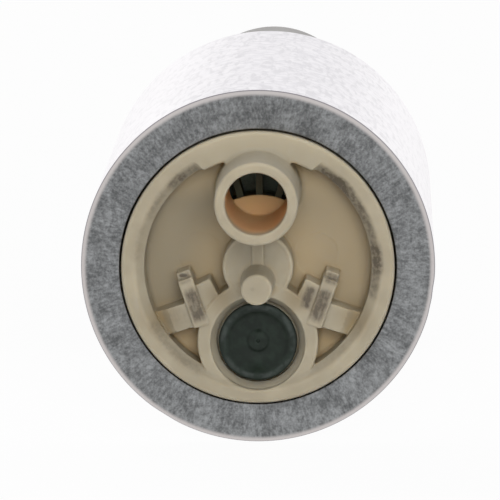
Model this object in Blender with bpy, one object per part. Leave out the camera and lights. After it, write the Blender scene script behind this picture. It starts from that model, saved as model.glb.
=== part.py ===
"""In-tank electric fuel pump: a drawn steel can with a turbine stage, a motor and an outlet cover.

The pump's axis lies along Y, with the inlet end towards -Y and the inlet tube above the axis.
A station is a distance along the axis behind the can's front rim. The origin is on the axis,
halfway along the can. Lengths are in metres.
"""

import math

import bmesh
import bpy
from mathutils import Vector

MM = 0.001

# Clearances
SEAT_GAP = 0.3 * MM
FIT_GAP = 0.1 * MM
RUN_GAP = 0.05 * MM
FACE_GAP = 0.2 * MM
SLIDE_GAP = 0.2 * MM

# Can
CAN_RADIUS = 19.0 * MM
CAN_LENGTH = 72.0 * MM
CAN_WALL = 1.2 * MM
CAN_CORNER = 0.6 * MM
FRONT_LIP_WIDTH = 4.16 * MM
REAR_LIP_WIDTH = 2.0 * MM

# Inlet cover: ring, recess and flange
RING_PROUD = 0.8 * MM
RING_CROWN = 1.34 * MM
RING_CHAMFER = 1.0 * MM
RING_EDGE = 0.25 * MM
RECESS_DEPTH = 4.6 * MM
COVER_FLANGE_DEPTH = 5.4 * MM
INLET_SEAL_THICKNESS = 0.8 * MM
INLET_SEAL_MARGIN = 0.26 * MM
TOP_SEGMENT_WIDTH = 2.64 * MM
TOP_SEGMENT_DROP = 0.1 * MM
TOP_SEGMENT_HALF_ANGLE = math.radians(30)

# Inlet cover: tube, lobe, pin and rib
TUBE_TIP_RADIUS = 4.41 * MM
TUBE_BASE_RADIUS = 4.65 * MM
TUBE_BORE_RADIUS = 3.29 * MM
TUBE_PROUD = 11.3 * MM
TUBE_RING_OVERLAP = 1.84 * MM
TUBE_EDGE = 0.3 * MM
INLET_WEB = 1.4 * MM
PORT_HALF_ANGLE = math.radians(26)
PORT_INSET = 0.15 * MM
LOBE_RADIUS = 3.79 * MM
LOBE_PROUD = 0.2 * MM
LOBE_EDGE = 0.2 * MM
PIN_OFFSET = 1.5 * MM
PIN_BASE_RADIUS = 1.8 * MM
PIN_TIP_RADIUS = 1.65 * MM
PIN_HEIGHT = 7.7 * MM
RIB_WIDTH = 1.3 * MM
RIB_HEIGHT = 0.35 * MM
MOULDED_EDGE = 0.25 * MM

# Inlet cover: clips, one on each side
CLIP_WALL_REACH = 4.37 * MM
CLIP_TOP_DROP = 1.3 * MM
CLIP_LEAN = math.radians(19.3)
CLIP_BAR_WIDTH = 1.66 * MM
CLIP_BAR_LENGTH = 5.4 * MM
CLIP_PROUD = 0.5 * MM
CLIP_STEP_LENGTH = 0.7 * MM
CLIP_STEP_DROP = 1.4 * MM
CLIP_BLOCK_ALONG = 2.6 * MM
CLIP_BLOCK_WIDTH = 2.2 * MM
CLIP_BLOCK_LENGTH = 3.3 * MM
CLIP_BLOCK_TURN = math.radians(8.0)
CLIP_BLOCK_DROP = 0.4 * MM
CLIP_WEB_ALONG = 3.9 * MM
CLIP_WEB_WIDTH = 2.75 * MM
CLIP_WEB_DROP = 0.5 * MM
CLIP_WEB_FALL = 2.2 * MM

# Relief valve in its boss
BOSS_TOP_DROP = 1.5 * MM
BOSS_PROUD = 0.3 * MM
BOSS_INSET = 0.06 * MM
BOSS_WALL = 1.44 * MM
VALVE_OFFSET = 0.2 * MM
COUNTERBORE_STRAIGHT = 1.0 * MM
VALVE_SEAT_STATION = 2.5 * MM
VALVE_SEAT_TAPER = 0.61 * MM
VALVE_HEAD_FRONT = 0.5 * MM
VALVE_LIP_WIDTH = 0.75 * MM
VALVE_DISH_DEPTH = 1.0 * MM
VALVE_CENTRE_RADIUS = 1.15 * MM
VALVE_CENTRE_RISE = 0.3 * MM
VALVE_WEB = 1.5 * MM
VALVE_STEM_RADIUS = 0.9 * MM
VALVE_POCKET_RADIUS = 2.6 * MM
VALVE_PORT_RADIUS = 0.42 * MM
VALVE_PORT_COUNT = 4
VALVE_PORT_TURN = math.radians(36)
RETAINER_THICKNESS = 0.7 * MM
RETAINER_SETBACK = 0.4 * MM
RELIEF_WIRE = 0.35 * MM
RELIEF_TURNS = 3

# Turbine stage
IMPELLER_THICKNESS = 4.0 * MM
IMPELLER_TIP_GAP = 0.4 * MM
IMPELLER_RIM = 1.7 * MM
VANE_COUNT = 21
VANE_LENGTH = 5.7 * MM
VANE_THICKNESS = 0.72 * MM
CHANNEL_DEPTH = 1.0 * MM
CHANNEL_START = math.radians(-22)
CHANNEL_END = math.radians(308)
CHAMBER_WALL = 2.9 * MM
CHAMBER_PLATE = 4.1 * MM
CHAMBER_HUB_RADIUS = 4.2 * MM
CHAMBER_HUB_LENGTH = 3.0 * MM
CHAMBER_PORT_RADIUS = 2.0 * MM
CHAMBER_PORT_ANGLE = math.radians(290)
SHAFT_WEB = 0.8 * MM
THRUST_BUTTON_RADIUS = 2.0 * MM
THRUST_BUTTON_THICKNESS = 1.5 * MM

# Motor
SHAFT_RADIUS = 1.6 * MM
SHAFT_CHAMFER = 0.3 * MM
SHAFT_END = 1.5 * MM
LOWER_BEARING_RADIUS = 3.0 * MM
UPPER_BEARING_RADIUS = 3.4 * MM
UPPER_BEARING_LENGTH = 4.5 * MM
FLUX_RING_WALL = 1.2 * MM
MAGNET_THICKNESS = 2.4 * MM
MAGNET_HALF_ANGLE = math.radians(65)
MAGNET_OVERHANG = 2.0 * MM
AIR_GAP = 0.4 * MM
CLIP_SHEET = 0.7 * MM
CLIP_LEG = 1.3 * MM
CLIP_LENGTH = 20.0 * MM
SLOT_COUNT = 8
TOOTH_SHARE = 0.67
TOOTH_SHOE = 1.3 * MM
SLOT_OPENING = 1.8 * MM
YOKE_SHARE = 0.4
WINDING_INNER_RADIUS = 3.2 * MM
WINDING_CHAMFER = 1.0 * MM
FRONT_TURNS = 4.0 * MM
REAR_TURNS = 3.2 * MM
ROTOR_END_GAP = 1.1 * MM
COMMUTATOR_RADIUS = 9.2 * MM
COMMUTATOR_THICKNESS = 4.2 * MM
COMMUTATOR_SLOT = 0.5 * MM
COMMUTATOR_SLOT_DEPTH = 1.0 * MM

# Brush gear
BRUSH_EDGE_INSET = 0.8 * MM
BRUSH_WIDTH = 4.0 * MM
BRUSH_HEIGHT = 3.8 * MM
BRUSH_LENGTH = 6.4 * MM
TUNNEL_WALL = 1.0 * MM
TUNNEL_SETBACK = 2.0 * MM
HOLDER_PLATE = 2.2 * MM
HOLDER_HUB_RADIUS = 4.1 * MM
SHAFT_ROOM_DEPTH = 3.0 * MM
SHAFT_ROOM_GAP = 0.6 * MM
FUEL_WAY_EDGE = 2.6 * MM
FUEL_WAY_HUB_GAP = 1.2 * MM
BRUSH_SPRING_LENGTH = 6.9 * MM
BRUSH_SPRING_RADIUS = 1.35 * MM
BRUSH_SPRING_WIRE = 0.4 * MM
BRUSH_SPRING_TURNS = 5
LEAD_RADIUS = 0.35 * MM
LEAD_SLOT = 1.4 * MM
CHOKE_RADIUS = 1.8 * MM
CHOKE_LENGTH = 9.4 * MM
CHOKE_RIBS = 6
CHOKE_RIB_DEPTH = 0.35 * MM
CHOKE_WALL_GAP = 0.88 * MM
CHOKE_ANGLE = math.radians(131.7)

# Outlet cover, check valve and connector
COVER_WALL = 2.5 * MM
COVER_SLEEVE = 14.2 * MM
DOME_HEIGHT = 5.0 * MM
END_WALL = 2.5 * MM
DOME_EDGE = 1.2 * MM
TURRET_MARGIN = 0.1 * MM
TURRET_HEIGHT = 29.0 * MM
TURRET_EDGE = 1.5 * MM
TURRET_WALL = 1.6 * MM
TURRET_BLOCK = 9.0 * MM
CHECK_CHAMBER_RADIUS = 4.6 * MM
CHECK_CHAMBER_DEPTH = 6.5 * MM
SPIGOT_RADIUS = 4.0 * MM
SPIGOT_BORE_RADIUS = 2.6 * MM
SPIGOT_LENGTH = 15.0 * MM
BARB_HEIGHT = 0.5 * MM
BARB_SETBACK = 2.2 * MM
BARB_LENGTH = 1.6 * MM
SEAT_RING_THICKNESS = 3.5 * MM
SEAT_RING_BORE = 2.2 * MM
CHECK_HEAD_RADIUS = 3.6 * MM
CHECK_HEAD_THICKNESS = 1.8 * MM
CHECK_STEM_RADIUS = 1.2 * MM
CHECK_STEM_LENGTH = 2.6 * MM
CHECK_SPRING_RADIUS = 3.1 * MM
CHECK_SPRING_WIRE = 0.5 * MM
CHECK_SPRING_TURNS = 3
OUTLET_SEAL_RADIUS = 0.7 * MM
OUTLET_SEAL_SETBACK = 3.5 * MM
OUTLET_SEAL_SQUEEZE_GAP = 0.15 * MM
SHROUD_WIDTH = 14.0 * MM
SHROUD_HEIGHT = 7.2 * MM
SHROUD_WALL = 1.0 * MM
SHROUD_LENGTH = 9.0 * MM
SHROUD_INSET = 3.6 * MM
SHROUD_TURRET_GAP = 1.7 * MM
BLADE_OFFSET = 3.6 * MM
BLADE_THICKNESS = 0.8 * MM
BLADE_WIDTH = 2.8 * MM
BLADE_SETBACK = 2.0 * MM
FOOT_THICKNESS = 0.8 * MM
FOOT_WIDTH = 1.6 * MM

# Facets of round shapes
FINE = 64
MEDIUM = 36
COARSE = 20
SMALL = 12
CORNER_STEPS = 2
SPRING_STEPS = 10
ARC_STEPS = 12
CLIP_STEPS = 6
SHOE_STEPS = 4
CHANNEL_STEPS = 36
SEAL_SIDES = 8
LEAD_STEPS = 4
OVERCUT = 0.5 * MM
THIN_OVERCUT = 0.1 * MM
ON_AXIS = 1e-7
SHARP_ANGLE = math.radians(32)

# Radii that follow from the sizes above
CAN_BORE = CAN_RADIUS - CAN_WALL
FLANGE_RADIUS = CAN_BORE - SEAT_GAP
FRONT_LIP_RADIUS = CAN_RADIUS - FRONT_LIP_WIDTH
REAR_LIP_RADIUS = CAN_RADIUS - REAR_LIP_WIDTH
RING_RADIUS = FRONT_LIP_RADIUS - SEAT_GAP
RING_CHAMFER_RADIUS = RING_RADIUS - RING_CROWN
RECESS_RADIUS = RING_CHAMFER_RADIUS - RING_CHAMFER
TUBE_HEIGHT = RING_RADIUS - TUBE_RING_OVERLAP - TUBE_BASE_RADIUS
CLIP_BAR_REACH = RECESS_RADIUS - CLIP_WALL_REACH
BOSS_RADIUS = (RING_RADIUS - BOSS_INSET - BOSS_TOP_DROP) / 2
BOSS_DROP = BOSS_TOP_DROP + BOSS_RADIUS
VALVE_DROP = BOSS_DROP + VALVE_OFFSET
COUNTERBORE_RADIUS = BOSS_RADIUS - BOSS_WALL
VALVE_SEAT_RADIUS = COUNTERBORE_RADIUS - VALVE_SEAT_TAPER
VALVE_HEAD_RADIUS = VALVE_SEAT_RADIUS - SLIDE_GAP
POCKET_RADIUS = FLANGE_RADIUS - CHAMBER_WALL
IMPELLER_RADIUS = POCKET_RADIUS - IMPELLER_TIP_GAP
VANE_OUTER_RADIUS = IMPELLER_RADIUS - IMPELLER_RIM
VANE_INNER_RADIUS = VANE_OUTER_RADIUS - VANE_LENGTH
FLUX_RING_BORE = FLANGE_RADIUS - FLUX_RING_WALL
MAGNET_OUTER_RADIUS = FLUX_RING_BORE - SEAT_GAP
MAGNET_INNER_RADIUS = MAGNET_OUTER_RADIUS - MAGNET_THICKNESS
CORE_RADIUS = MAGNET_INNER_RADIUS - AIR_GAP
SLOT_BOTTOM_RADIUS = SHAFT_RADIUS + (CORE_RADIUS - SHAFT_RADIUS) * YOKE_SHARE
TOOTH_HALF_WIDTH = SLOT_BOTTOM_RADIUS * math.sin(math.pi / SLOT_COUNT) * TOOTH_SHARE
BRUSH_OFFSET = COMMUTATOR_RADIUS - BRUSH_EDGE_INSET - BRUSH_WIDTH / 2
COVER_BORE = FLANGE_RADIUS - COVER_WALL
PLATE_RADIUS = COVER_BORE - SEAT_GAP
FUEL_WAY_INNER = HOLDER_HUB_RADIUS + FUEL_WAY_HUB_GAP
FUEL_WAY_RADIUS = (PLATE_RADIUS - FUEL_WAY_EDGE - FUEL_WAY_INNER) / 2
FUEL_WAY_LIFT = FUEL_WAY_INNER + FUEL_WAY_RADIUS
CHOKE_REACH = COVER_BORE - CHOKE_WALL_GAP - CHOKE_RADIUS
DOME_RADIUS = REAR_LIP_RADIUS - SEAT_GAP
SHROUD_DROP = DOME_RADIUS - SHROUD_INSET - SHROUD_HEIGHT / 2
TURRET_DROP = SHROUD_DROP - SHROUD_HEIGHT / 2 - SHROUD_TURRET_GAP
TURRET_RADIUS = (DOME_RADIUS - TURRET_MARGIN + TURRET_DROP) / 2
TURRET_LIFT = DOME_RADIUS - TURRET_RADIUS - TURRET_MARGIN
CAVITY_RADIUS = TURRET_RADIUS - TURRET_WALL

# Stations, from the front rim to the rear
SEAL_FRONT = CAN_WALL + SEAT_GAP
FLANGE_FRONT = SEAL_FRONT + INLET_SEAL_THICKNESS + SEAT_GAP
COVER_BACK = FLANGE_FRONT + COVER_FLANGE_DEPTH
IMPELLER_FRONT = COVER_BACK + FACE_GAP
IMPELLER_BACK = IMPELLER_FRONT + IMPELLER_THICKNESS
CHAMBER_FRONT = COVER_BACK + SEAT_GAP
CHAMBER_FACE = IMPELLER_BACK + FACE_GAP
CHAMBER_BACK = CHAMBER_FACE + CHAMBER_PLATE
CHAMBER_HUB_BACK = CHAMBER_BACK + CHAMBER_HUB_LENGTH
CORE_FRONT = CHAMBER_HUB_BACK + ROTOR_END_GAP + FRONT_TURNS + SEAT_GAP
LIP_FRONT = CAN_LENGTH - CAN_WALL
FLANGE_BACK = LIP_FRONT - SEAT_GAP
DOME_BACK = CAN_LENGTH + DOME_HEIGHT
WALL_FRONT = DOME_BACK - END_WALL
HOLDER_BACK = WALL_FRONT - SEAT_GAP
HOLDER_FRONT = HOLDER_BACK - HOLDER_PLATE
BRUSH_BACK = HOLDER_FRONT - BRUSH_SPRING_LENGTH - 2 * SEAT_GAP
BRUSH_FRONT = BRUSH_BACK - BRUSH_LENGTH
COMMUTATOR_BACK = BRUSH_FRONT - FIT_GAP
COMMUTATOR_FRONT = COMMUTATOR_BACK - COMMUTATOR_THICKNESS
CORE_BACK = COMMUTATOR_FRONT - SEAT_GAP - REAR_TURNS - SEAT_GAP
SLEEVE_FRONT = FLANGE_BACK - COVER_SLEEVE
TUNNEL_FRONT = COMMUTATOR_BACK + TUNNEL_SETBACK
UPPER_BEARING_FRONT = TUNNEL_FRONT + SEAT_GAP
UPPER_BEARING_BACK = UPPER_BEARING_FRONT + UPPER_BEARING_LENGTH
SHAFT_BACK = UPPER_BEARING_BACK + SHAFT_END
BUTTON_BACK = COVER_BACK - SEAT_GAP
BUTTON_FRONT = BUTTON_BACK - THRUST_BUTTON_THICKNESS
SHAFT_FRONT = BUTTON_BACK + FIT_GAP
TURRET_BACK = DOME_BACK + TURRET_HEIGHT
CAVITY_BACK = TURRET_BACK - TURRET_BLOCK
CHAMBER_END = CAVITY_BACK + CHECK_CHAMBER_DEPTH
SPIGOT_BACK = TURRET_BACK + SPIGOT_LENGTH
SEAT_RING_BACK = CAVITY_BACK - SEAT_GAP
CHECK_FRONT = SEAT_RING_BACK + SEAT_GAP
RETAINER_BACK = COVER_BACK - RETAINER_SETBACK
RETAINER_FRONT = RETAINER_BACK - RETAINER_THICKNESS

MATERIALS = {
    "zinc_steel": ((0.42, 0.43, 0.44), 0.42, 1.0),
    "cream_plastic": ((0.55, 0.47, 0.34), 0.42, 0.0),
    "black_rubber": ((0.012, 0.013, 0.012), 0.35, 0.0),
    "grey_plastic": ((0.38, 0.38, 0.36), 0.5, 0.0),
    "brown_plastic": ((0.16, 0.09, 0.04), 0.45, 0.0),
    "spring_steel": ((0.5, 0.5, 0.5), 0.3, 1.0),
    "bright_steel": ((0.6, 0.6, 0.6), 0.2, 1.0),
    "cast_aluminium": ((0.55, 0.55, 0.56), 0.5, 1.0),
    "bronze": ((0.5, 0.32, 0.14), 0.4, 1.0),
    "ferrite": ((0.05, 0.05, 0.055), 0.6, 0.0),
    "copper": ((0.6, 0.25, 0.12), 0.35, 1.0),
    "carbon": ((0.03, 0.03, 0.032), 0.55, 0.0),
    "tinned_brass": ((0.6, 0.55, 0.42), 0.3, 1.0),
}


def clear_scene():
    for old in list(bpy.data.objects):
        bpy.data.objects.remove(old, do_unlink=True)


def along(station):
    """The Y coordinate of a station."""
    return station - CAN_LENGTH / 2


def material_named(name):
    found = bpy.data.materials.get(name)
    if found:
        return found
    colour, roughness, metallic = MATERIALS[name]
    made = bpy.data.materials.new(name)
    made.use_nodes = True
    shader = made.node_tree.nodes["Principled BSDF"]
    shader.inputs["Base Color"].default_value = (*colour, 1.0)
    shader.inputs["Roughness"].default_value = roughness
    shader.inputs["Metallic"].default_value = metallic
    made.diffuse_color = (*colour, 1.0)
    return made


def polar(radius, angle):
    """A point (x, z) at an angle measured from the top, clockwise seen from the inlet end."""
    return (radius * math.sin(angle), radius * math.cos(angle))


def arc(radius, start, end, steps):
    return [polar(radius, start + (end - start) * i / steps) for i in range(steps + 1)]


def corner_arc(before, corner, after, radius):
    """Points of the fillet that rounds a corner between its two neighbours."""
    corner = Vector(corner)
    to_before = (Vector(before) - corner).normalized()
    to_after = (Vector(after) - corner).normalized()
    half = to_before.angle(to_after) / 2
    centre = corner + (to_before + to_after).normalized() * radius / math.sin(half)
    first = corner + to_before * radius / math.tan(half) - centre
    last = corner + to_after * radius / math.tan(half) - centre
    points = []
    for i in range(CORNER_STEPS + 1):
        share = i / CORNER_STEPS
        points.append(centre + first.lerp(last, share).normalized() * radius)
    return [tuple(point) for point in points]


def rounded(points):
    """An outline of (u, v) corners, where a third value is the corner's fillet radius."""
    outline = []
    for i, point in enumerate(points):
        if len(point) == 2:
            outline.append(point)
            continue
        before = points[i - 1][:2]
        after = points[(i + 1) % len(points)][:2]
        outline += corner_arc(before, point[:2], after, point[2])
    return outline


def finish(name, shape, material, origin):
    """A named object from a bmesh whose points are relative to origin (x, station, z)."""
    bmesh.ops.recalc_face_normals(shape, faces=shape.faces)
    mesh = bpy.data.meshes.new(name)
    shape.to_mesh(mesh)
    shape.free()
    made = bpy.data.objects.new(name, mesh)
    made.location = (origin[0], along(origin[1]), origin[2])
    bpy.context.scene.collection.objects.link(made)
    dress(made, material)
    return made


def dress(made, material):
    made.data.materials.clear()
    made.data.materials.append(material_named(material))
    made.data.shade_smooth()
    made.data.set_sharp_from_angle(angle=SHARP_ANGLE)


def join_rings(shape, first, second):
    """Faces between two rings of points, either of which may be a single point on the axis."""
    count = max(len(first), len(second))
    for i in range(count):
        corners = []
        for ring, step in ((first, i), (first, i + 1), (second, i + 1), (second, i)):
            vert = ring[step % len(ring)]
            if vert not in corners:
                corners.append(vert)
        if len(corners) > 2:
            shape.faces.new(corners)


def turned(name, points, material, centre=(0.0, 0.0), segments=MEDIUM, phase=0.5):
    """A closed (radius, station) outline turned about an axis through centre (x, z).

    A level run to the axis becomes one flat face. The phase turns the facets by a share of a
    step, so that joined shapes share no corner.
    """
    profile = rounded(points)
    base = min(station for _, station in profile)
    shape = bmesh.new()
    rings = []
    for i, (radius, station) in enumerate(profile):
        ring = []
        if radius > ON_AXIS:
            spots = [polar(radius, 2 * math.pi * (k + phase) / segments) for k in range(segments)]
            ring = [shape.verts.new((x, station - base, z)) for x, z in spots]
        elif not meets_level_run(profile, i):
            ring = [shape.verts.new((0.0, station - base, 0.0))]
        rings.append(ring)
    for first, second in zip(rings, rings[1:] + rings[:1]):
        if first and second:
            join_rings(shape, first, second)
        elif len(first or second) > 1:
            shape.faces.new(first or second)
    return finish(name, shape, material, (centre[0], base, centre[1]))


def meets_level_run(profile, i):
    """Whether a point on the axis has a neighbour off the axis at its own station."""
    neighbours = (profile[i - 1], profile[(i + 1) % len(profile)])
    return any(r > ON_AXIS and abs(s - profile[i][1]) < ON_AXIS for r, s in neighbours)


def rod(name, radius, front, back, material, centre=(0.0, 0.0), segments=COARSE, edge=0.0):
    """A round rod, with both its edges rounded if edge is given."""
    corner = (edge,) if edge else ()
    points = [(0.0, front), (radius, front, *corner), (radius, back, *corner), (0.0, back)]
    return turned(name, points, material, centre, segments)


def tube(name, inner, outer, front, back, material, centre=(0.0, 0.0), segments=MEDIUM):
    points = [(inner, front), (outer, front), (outer, back), (inner, back)]
    return turned(name, points, material, centre, segments)


def prism(name, outline, front, back, material, front_edge=0.0):
    """An (x, z) outline extruded from one station to another, its front edge rounded if asked."""
    points = rounded(outline)
    middle = sum((Vector(point) for point in points), Vector((0.0, 0.0))) / len(points)
    shape = bmesh.new()
    verts = [shape.verts.new((x - middle.x, 0.0, z - middle.y)) for x, z in points]
    face = shape.faces.new(verts)
    made = bmesh.ops.extrude_face_region(shape, geom=[face])["geom"]
    moved = [item for item in made if isinstance(item, bmesh.types.BMVert)]
    bmesh.ops.translate(shape, verts=moved, vec=(0.0, back - front, 0.0))
    if front_edge:
        edges = [e for e in shape.edges if all(v.co.y < ON_AXIS for v in e.verts)]
        bmesh.ops.recalc_face_normals(shape, faces=shape.faces)
        bmesh.ops.bevel(
            shape, geom=edges, offset=front_edge, segments=CORNER_STEPS, profile=0.5, affect="EDGES"
        )
    return finish(name, shape, material, (middle.x, front, middle.y))


def box(name, low, high, front, back, material, front_edge=0.0):
    """A box between two (x, z) corners and two stations."""
    outline = [low, (high[0], low[1]), high, (low[0], high[1])]
    return prism(name, outline, front, back, material, front_edge)


def leaning_box(name, centre, lean, width, length, front, back, material, front_edge=0.0):
    """A box whose length leans from the vertical by an angle, its top towards -x."""
    across = Vector((math.cos(lean), math.sin(lean))) * width / 2
    up = Vector((-math.sin(lean), math.cos(lean))) * length / 2
    middle = Vector(centre)
    corners = [middle - across - up, middle + across - up, middle + across + up, middle - across + up]
    outline = [tuple(corner) for corner in corners]
    return prism(name, outline, front, back, material, front_edge)


def sector_outline(inner, outer, start, end, steps):
    return arc(outer, start, end, steps) + arc(inner, end, start, steps)


def sector(name, inner, outer, start, end, front, back, material, steps=ARC_STEPS):
    outline = sector_outline(inner, outer, start, end, steps)
    return prism(name, outline, front, back, material)


def boolean(target, tools, operation, material):
    """The target with each tool joined to it or cut from it, and the tools removed."""
    for tool in tools:
        modifier = target.modifiers.new(tool.name, "BOOLEAN")
        modifier.operation = operation
        modifier.solver = "EXACT"
        modifier.object = tool
    bpy.context.view_layer.update()
    graph = bpy.context.evaluated_depsgraph_get()
    mesh = bpy.data.meshes.new_from_object(target.evaluated_get(graph))
    target.modifiers.clear()
    target.data = mesh
    mesh.name = target.name
    for tool in tools:
        bpy.data.objects.remove(tool, do_unlink=True)
    dress(target, material)
    return target


def joined(target, tools, material):
    return boolean(target, tools, "UNION", material)


def cut(target, tools, material):
    return boolean(target, tools, "DIFFERENCE", material)


def wire(name, points, radius, material):
    """A round wire through points (x, station, z), as a curve with filled ends."""
    curve = bpy.data.curves.new(name, "CURVE")
    curve.dimensions = "3D"
    curve.bevel_depth = radius
    curve.bevel_resolution = 1
    curve.use_fill_caps = True
    base = Vector(points[0])
    spline = curve.splines.new("POLY")
    spline.points.add(len(points) - 1)
    for spot, point in zip(spline.points, points):
        spot.co = (*(Vector(point) - base), 1.0)
    made = bpy.data.objects.new(name, curve)
    made.location = (base.x, along(base.y), base.z)
    bpy.context.scene.collection.objects.link(made)
    curve.materials.append(material_named(material))
    return made


def coil_spring(name, centre, radius, wire_diameter, turns, front, back):
    """A helical spring whose wire stays inside the two stations."""
    steps = turns * SPRING_STEPS
    length = back - front - wire_diameter
    points = []
    for i in range(steps + 1):
        x, z = polar(radius, 2 * math.pi * i / SPRING_STEPS)
        station = front + wire_diameter / 2 + length * i / steps
        points.append((centre[0] + x, station, centre[1] + z))
    return wire(name, points, wire_diameter / 2, "spring_steel")


def smooth_route(knots, steps):
    """Points along a smooth curve through the knots."""
    ends = [knots[0]] + knots + [knots[-1]]
    points = []
    for a, b, c, d in zip(ends, ends[1:], ends[2:], ends[3:]):
        a, b, c, d = Vector(a), Vector(b), Vector(c), Vector(d)
        for i in range(steps):
            t = i / steps
            points.append(
                b
                + (c - a) * t / 2
                + (2 * a - 5 * b + 4 * c - d) * t**2 / 2
                + (3 * b - a - 3 * c + d) * t**3 / 2
            )
    return points + [Vector(knots[-1])]


def make_pump_shell():
    points = [
        (FRONT_LIP_RADIUS, 0.0),
        (CAN_RADIUS, 0.0, CAN_CORNER),
        (CAN_RADIUS, CAN_LENGTH, CAN_CORNER),
        (REAR_LIP_RADIUS, CAN_LENGTH),
        (REAR_LIP_RADIUS, LIP_FRONT),
        (CAN_BORE, LIP_FRONT),
        (CAN_BORE, CAN_WALL),
        (FRONT_LIP_RADIUS, CAN_WALL),
    ]
    return turned("pump_shell", points, "zinc_steel", segments=FINE, phase=0.0)


def make_inlet_seal():
    inner = FRONT_LIP_RADIUS + INLET_SEAL_MARGIN
    outer = CAN_BORE - SEAT_GAP
    back = SEAL_FRONT + INLET_SEAL_THICKNESS
    return tube("inlet_seal", inner, outer, SEAL_FRONT, back, "black_rubber")


def cover_base():
    """The inlet cover's flange, ring and recess floor, turned as one shape."""
    points = [
        (0.0, RECESS_DEPTH),
        (RECESS_RADIUS, RECESS_DEPTH),
        (RECESS_RADIUS, RING_CHAMFER - RING_PROUD),
        (RING_CHAMFER_RADIUS, -RING_PROUD),
        (RING_RADIUS, -RING_PROUD, RING_EDGE),
        (RING_RADIUS, FLANGE_FRONT),
        (FLANGE_RADIUS, FLANGE_FRONT),
        (FLANGE_RADIUS, COVER_BACK),
        (0.0, COVER_BACK),
    ]
    return turned("inlet_cover", points, "cream_plastic", segments=FINE, phase=0.0)


def inlet_tube():
    foot = RECESS_DEPTH + OVERCUT
    points = [
        (0.0, -TUBE_PROUD),
        (TUBE_TIP_RADIUS, -TUBE_PROUD, TUBE_EDGE),
        (TUBE_BASE_RADIUS, foot),
        (0.0, foot),
    ]
    return turned("tube", points, "cream_plastic", (0.0, TUBE_HEIGHT), MEDIUM)


def cover_lobe_and_pin():
    """The central lobe, the pin that stands on it, and the rib between the tube and the pin."""
    foot = RECESS_DEPTH + OVERCUT
    lobe = rod("lobe", LOBE_RADIUS, -LOBE_PROUD, foot, "cream_plastic", segments=MEDIUM, edge=LOBE_EDGE)
    pin_tip = -LOBE_PROUD - PIN_HEIGHT
    points = [
        (0.0, pin_tip),
        (PIN_TIP_RADIUS, pin_tip, MOULDED_EDGE),
        (PIN_BASE_RADIUS, 0.0),
        (0.0, 0.0),
    ]
    pin = turned("pin", points, "cream_plastic", (0.0, -PIN_OFFSET), COARSE)
    rib_top = -LOBE_PROUD - RIB_HEIGHT
    rib_reach = TUBE_HEIGHT - TUBE_BASE_RADIUS + OVERCUT
    low = (-RIB_WIDTH / 2, -PIN_OFFSET)
    high = (RIB_WIDTH / 2, rib_reach)
    rib = box("rib", low, high, rib_top, foot, "cream_plastic", MOULDED_EDGE / 2)
    return [lobe, pin, rib]


def cover_clip(side):
    """One clip's bar, step, block and sloping web. side is -1 on the left and 1 on the right."""
    lean = -side * CLIP_LEAN
    down = Vector((math.sin(lean), -math.cos(lean)))
    inward = Vector((-side * math.cos(lean), -side * math.sin(lean)))
    top = Vector((side * CLIP_BAR_REACH, -CLIP_TOP_DROP))
    foot = RECESS_DEPTH + OVERCUT
    name = "right" if side > 0 else "left"
    bar_centre = top + down * CLIP_BAR_LENGTH / 2
    bar = leaning_box(
        f"bar_{name}", bar_centre, lean, CLIP_BAR_WIDTH, CLIP_BAR_LENGTH,
        -CLIP_PROUD, foot, "cream_plastic", MOULDED_EDGE,
    )
    step = leaning_box(
        f"step_{name}", top, lean, CLIP_BAR_WIDTH - 2 * MOULDED_EDGE, 2 * CLIP_STEP_LENGTH,
        CLIP_STEP_DROP - CLIP_PROUD, foot, "cream_plastic", MOULDED_EDGE / 2,
    )
    block_centre = top + down * CLIP_BLOCK_ALONG + inward * (CLIP_BAR_WIDTH + CLIP_BLOCK_WIDTH) / 2
    block_centre -= inward * MOULDED_EDGE
    block = leaning_box(
        f"block_{name}", block_centre, lean - side * CLIP_BLOCK_TURN, CLIP_BLOCK_WIDTH, CLIP_BLOCK_LENGTH,
        CLIP_BLOCK_DROP - CLIP_PROUD, foot, "cream_plastic", MOULDED_EDGE,
    )
    web = clip_web(f"web_{name}", top + down * CLIP_WEB_ALONG, -inward, down)
    return [bar, step, block, web]


def clip_web(name, start, outward, down):
    """The band from a clip's bar to the ring, whose top falls away towards the ring."""
    reach = (RECESS_RADIUS + RING_CHAMFER) - start.length
    half = down * CLIP_WEB_WIDTH / 2
    foot = RECESS_DEPTH + OVERCUT
    near = CLIP_WEB_DROP - CLIP_PROUD
    shape = bmesh.new()
    rings = []
    for share, top in ((0.0, near), (1.0, near + CLIP_WEB_FALL)):
        middle = outward * reach * share
        rings.append([
            shape.verts.new((middle.x + turn * half.x, station, middle.y + turn * half.y))
            for turn, station in ((-1, top), (1, top), (1, foot), (-1, foot))
        ])
    join_rings(shape, *rings)
    for ring in rings:
        shape.faces.new(ring)
    return finish(name, shape, "cream_plastic", (start.x, 0.0, start.y))


def cover_boss():
    foot = RECESS_DEPTH + OVERCUT
    points = [
        (0.0, -BOSS_PROUD),
        (BOSS_RADIUS, -BOSS_PROUD, MOULDED_EDGE),
        (BOSS_RADIUS, foot),
        (0.0, foot),
    ]
    return turned("boss", points, "cream_plastic", (0.0, -BOSS_DROP), MEDIUM)


def valve_well():
    """The cutter for the counterbore that the valve's head sits in."""
    top = -BOSS_PROUD - RING_PROUD - OVERCUT
    points = [
        (0.0, top),
        (COUNTERBORE_RADIUS, top),
        (COUNTERBORE_RADIUS, COUNTERBORE_STRAIGHT),
        (VALVE_SEAT_RADIUS, VALVE_SEAT_STATION),
        (0.0, VALVE_SEAT_STATION),
    ]
    return turned("well", points, "cream_plastic", (0.0, -VALVE_DROP), MEDIUM)


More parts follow.
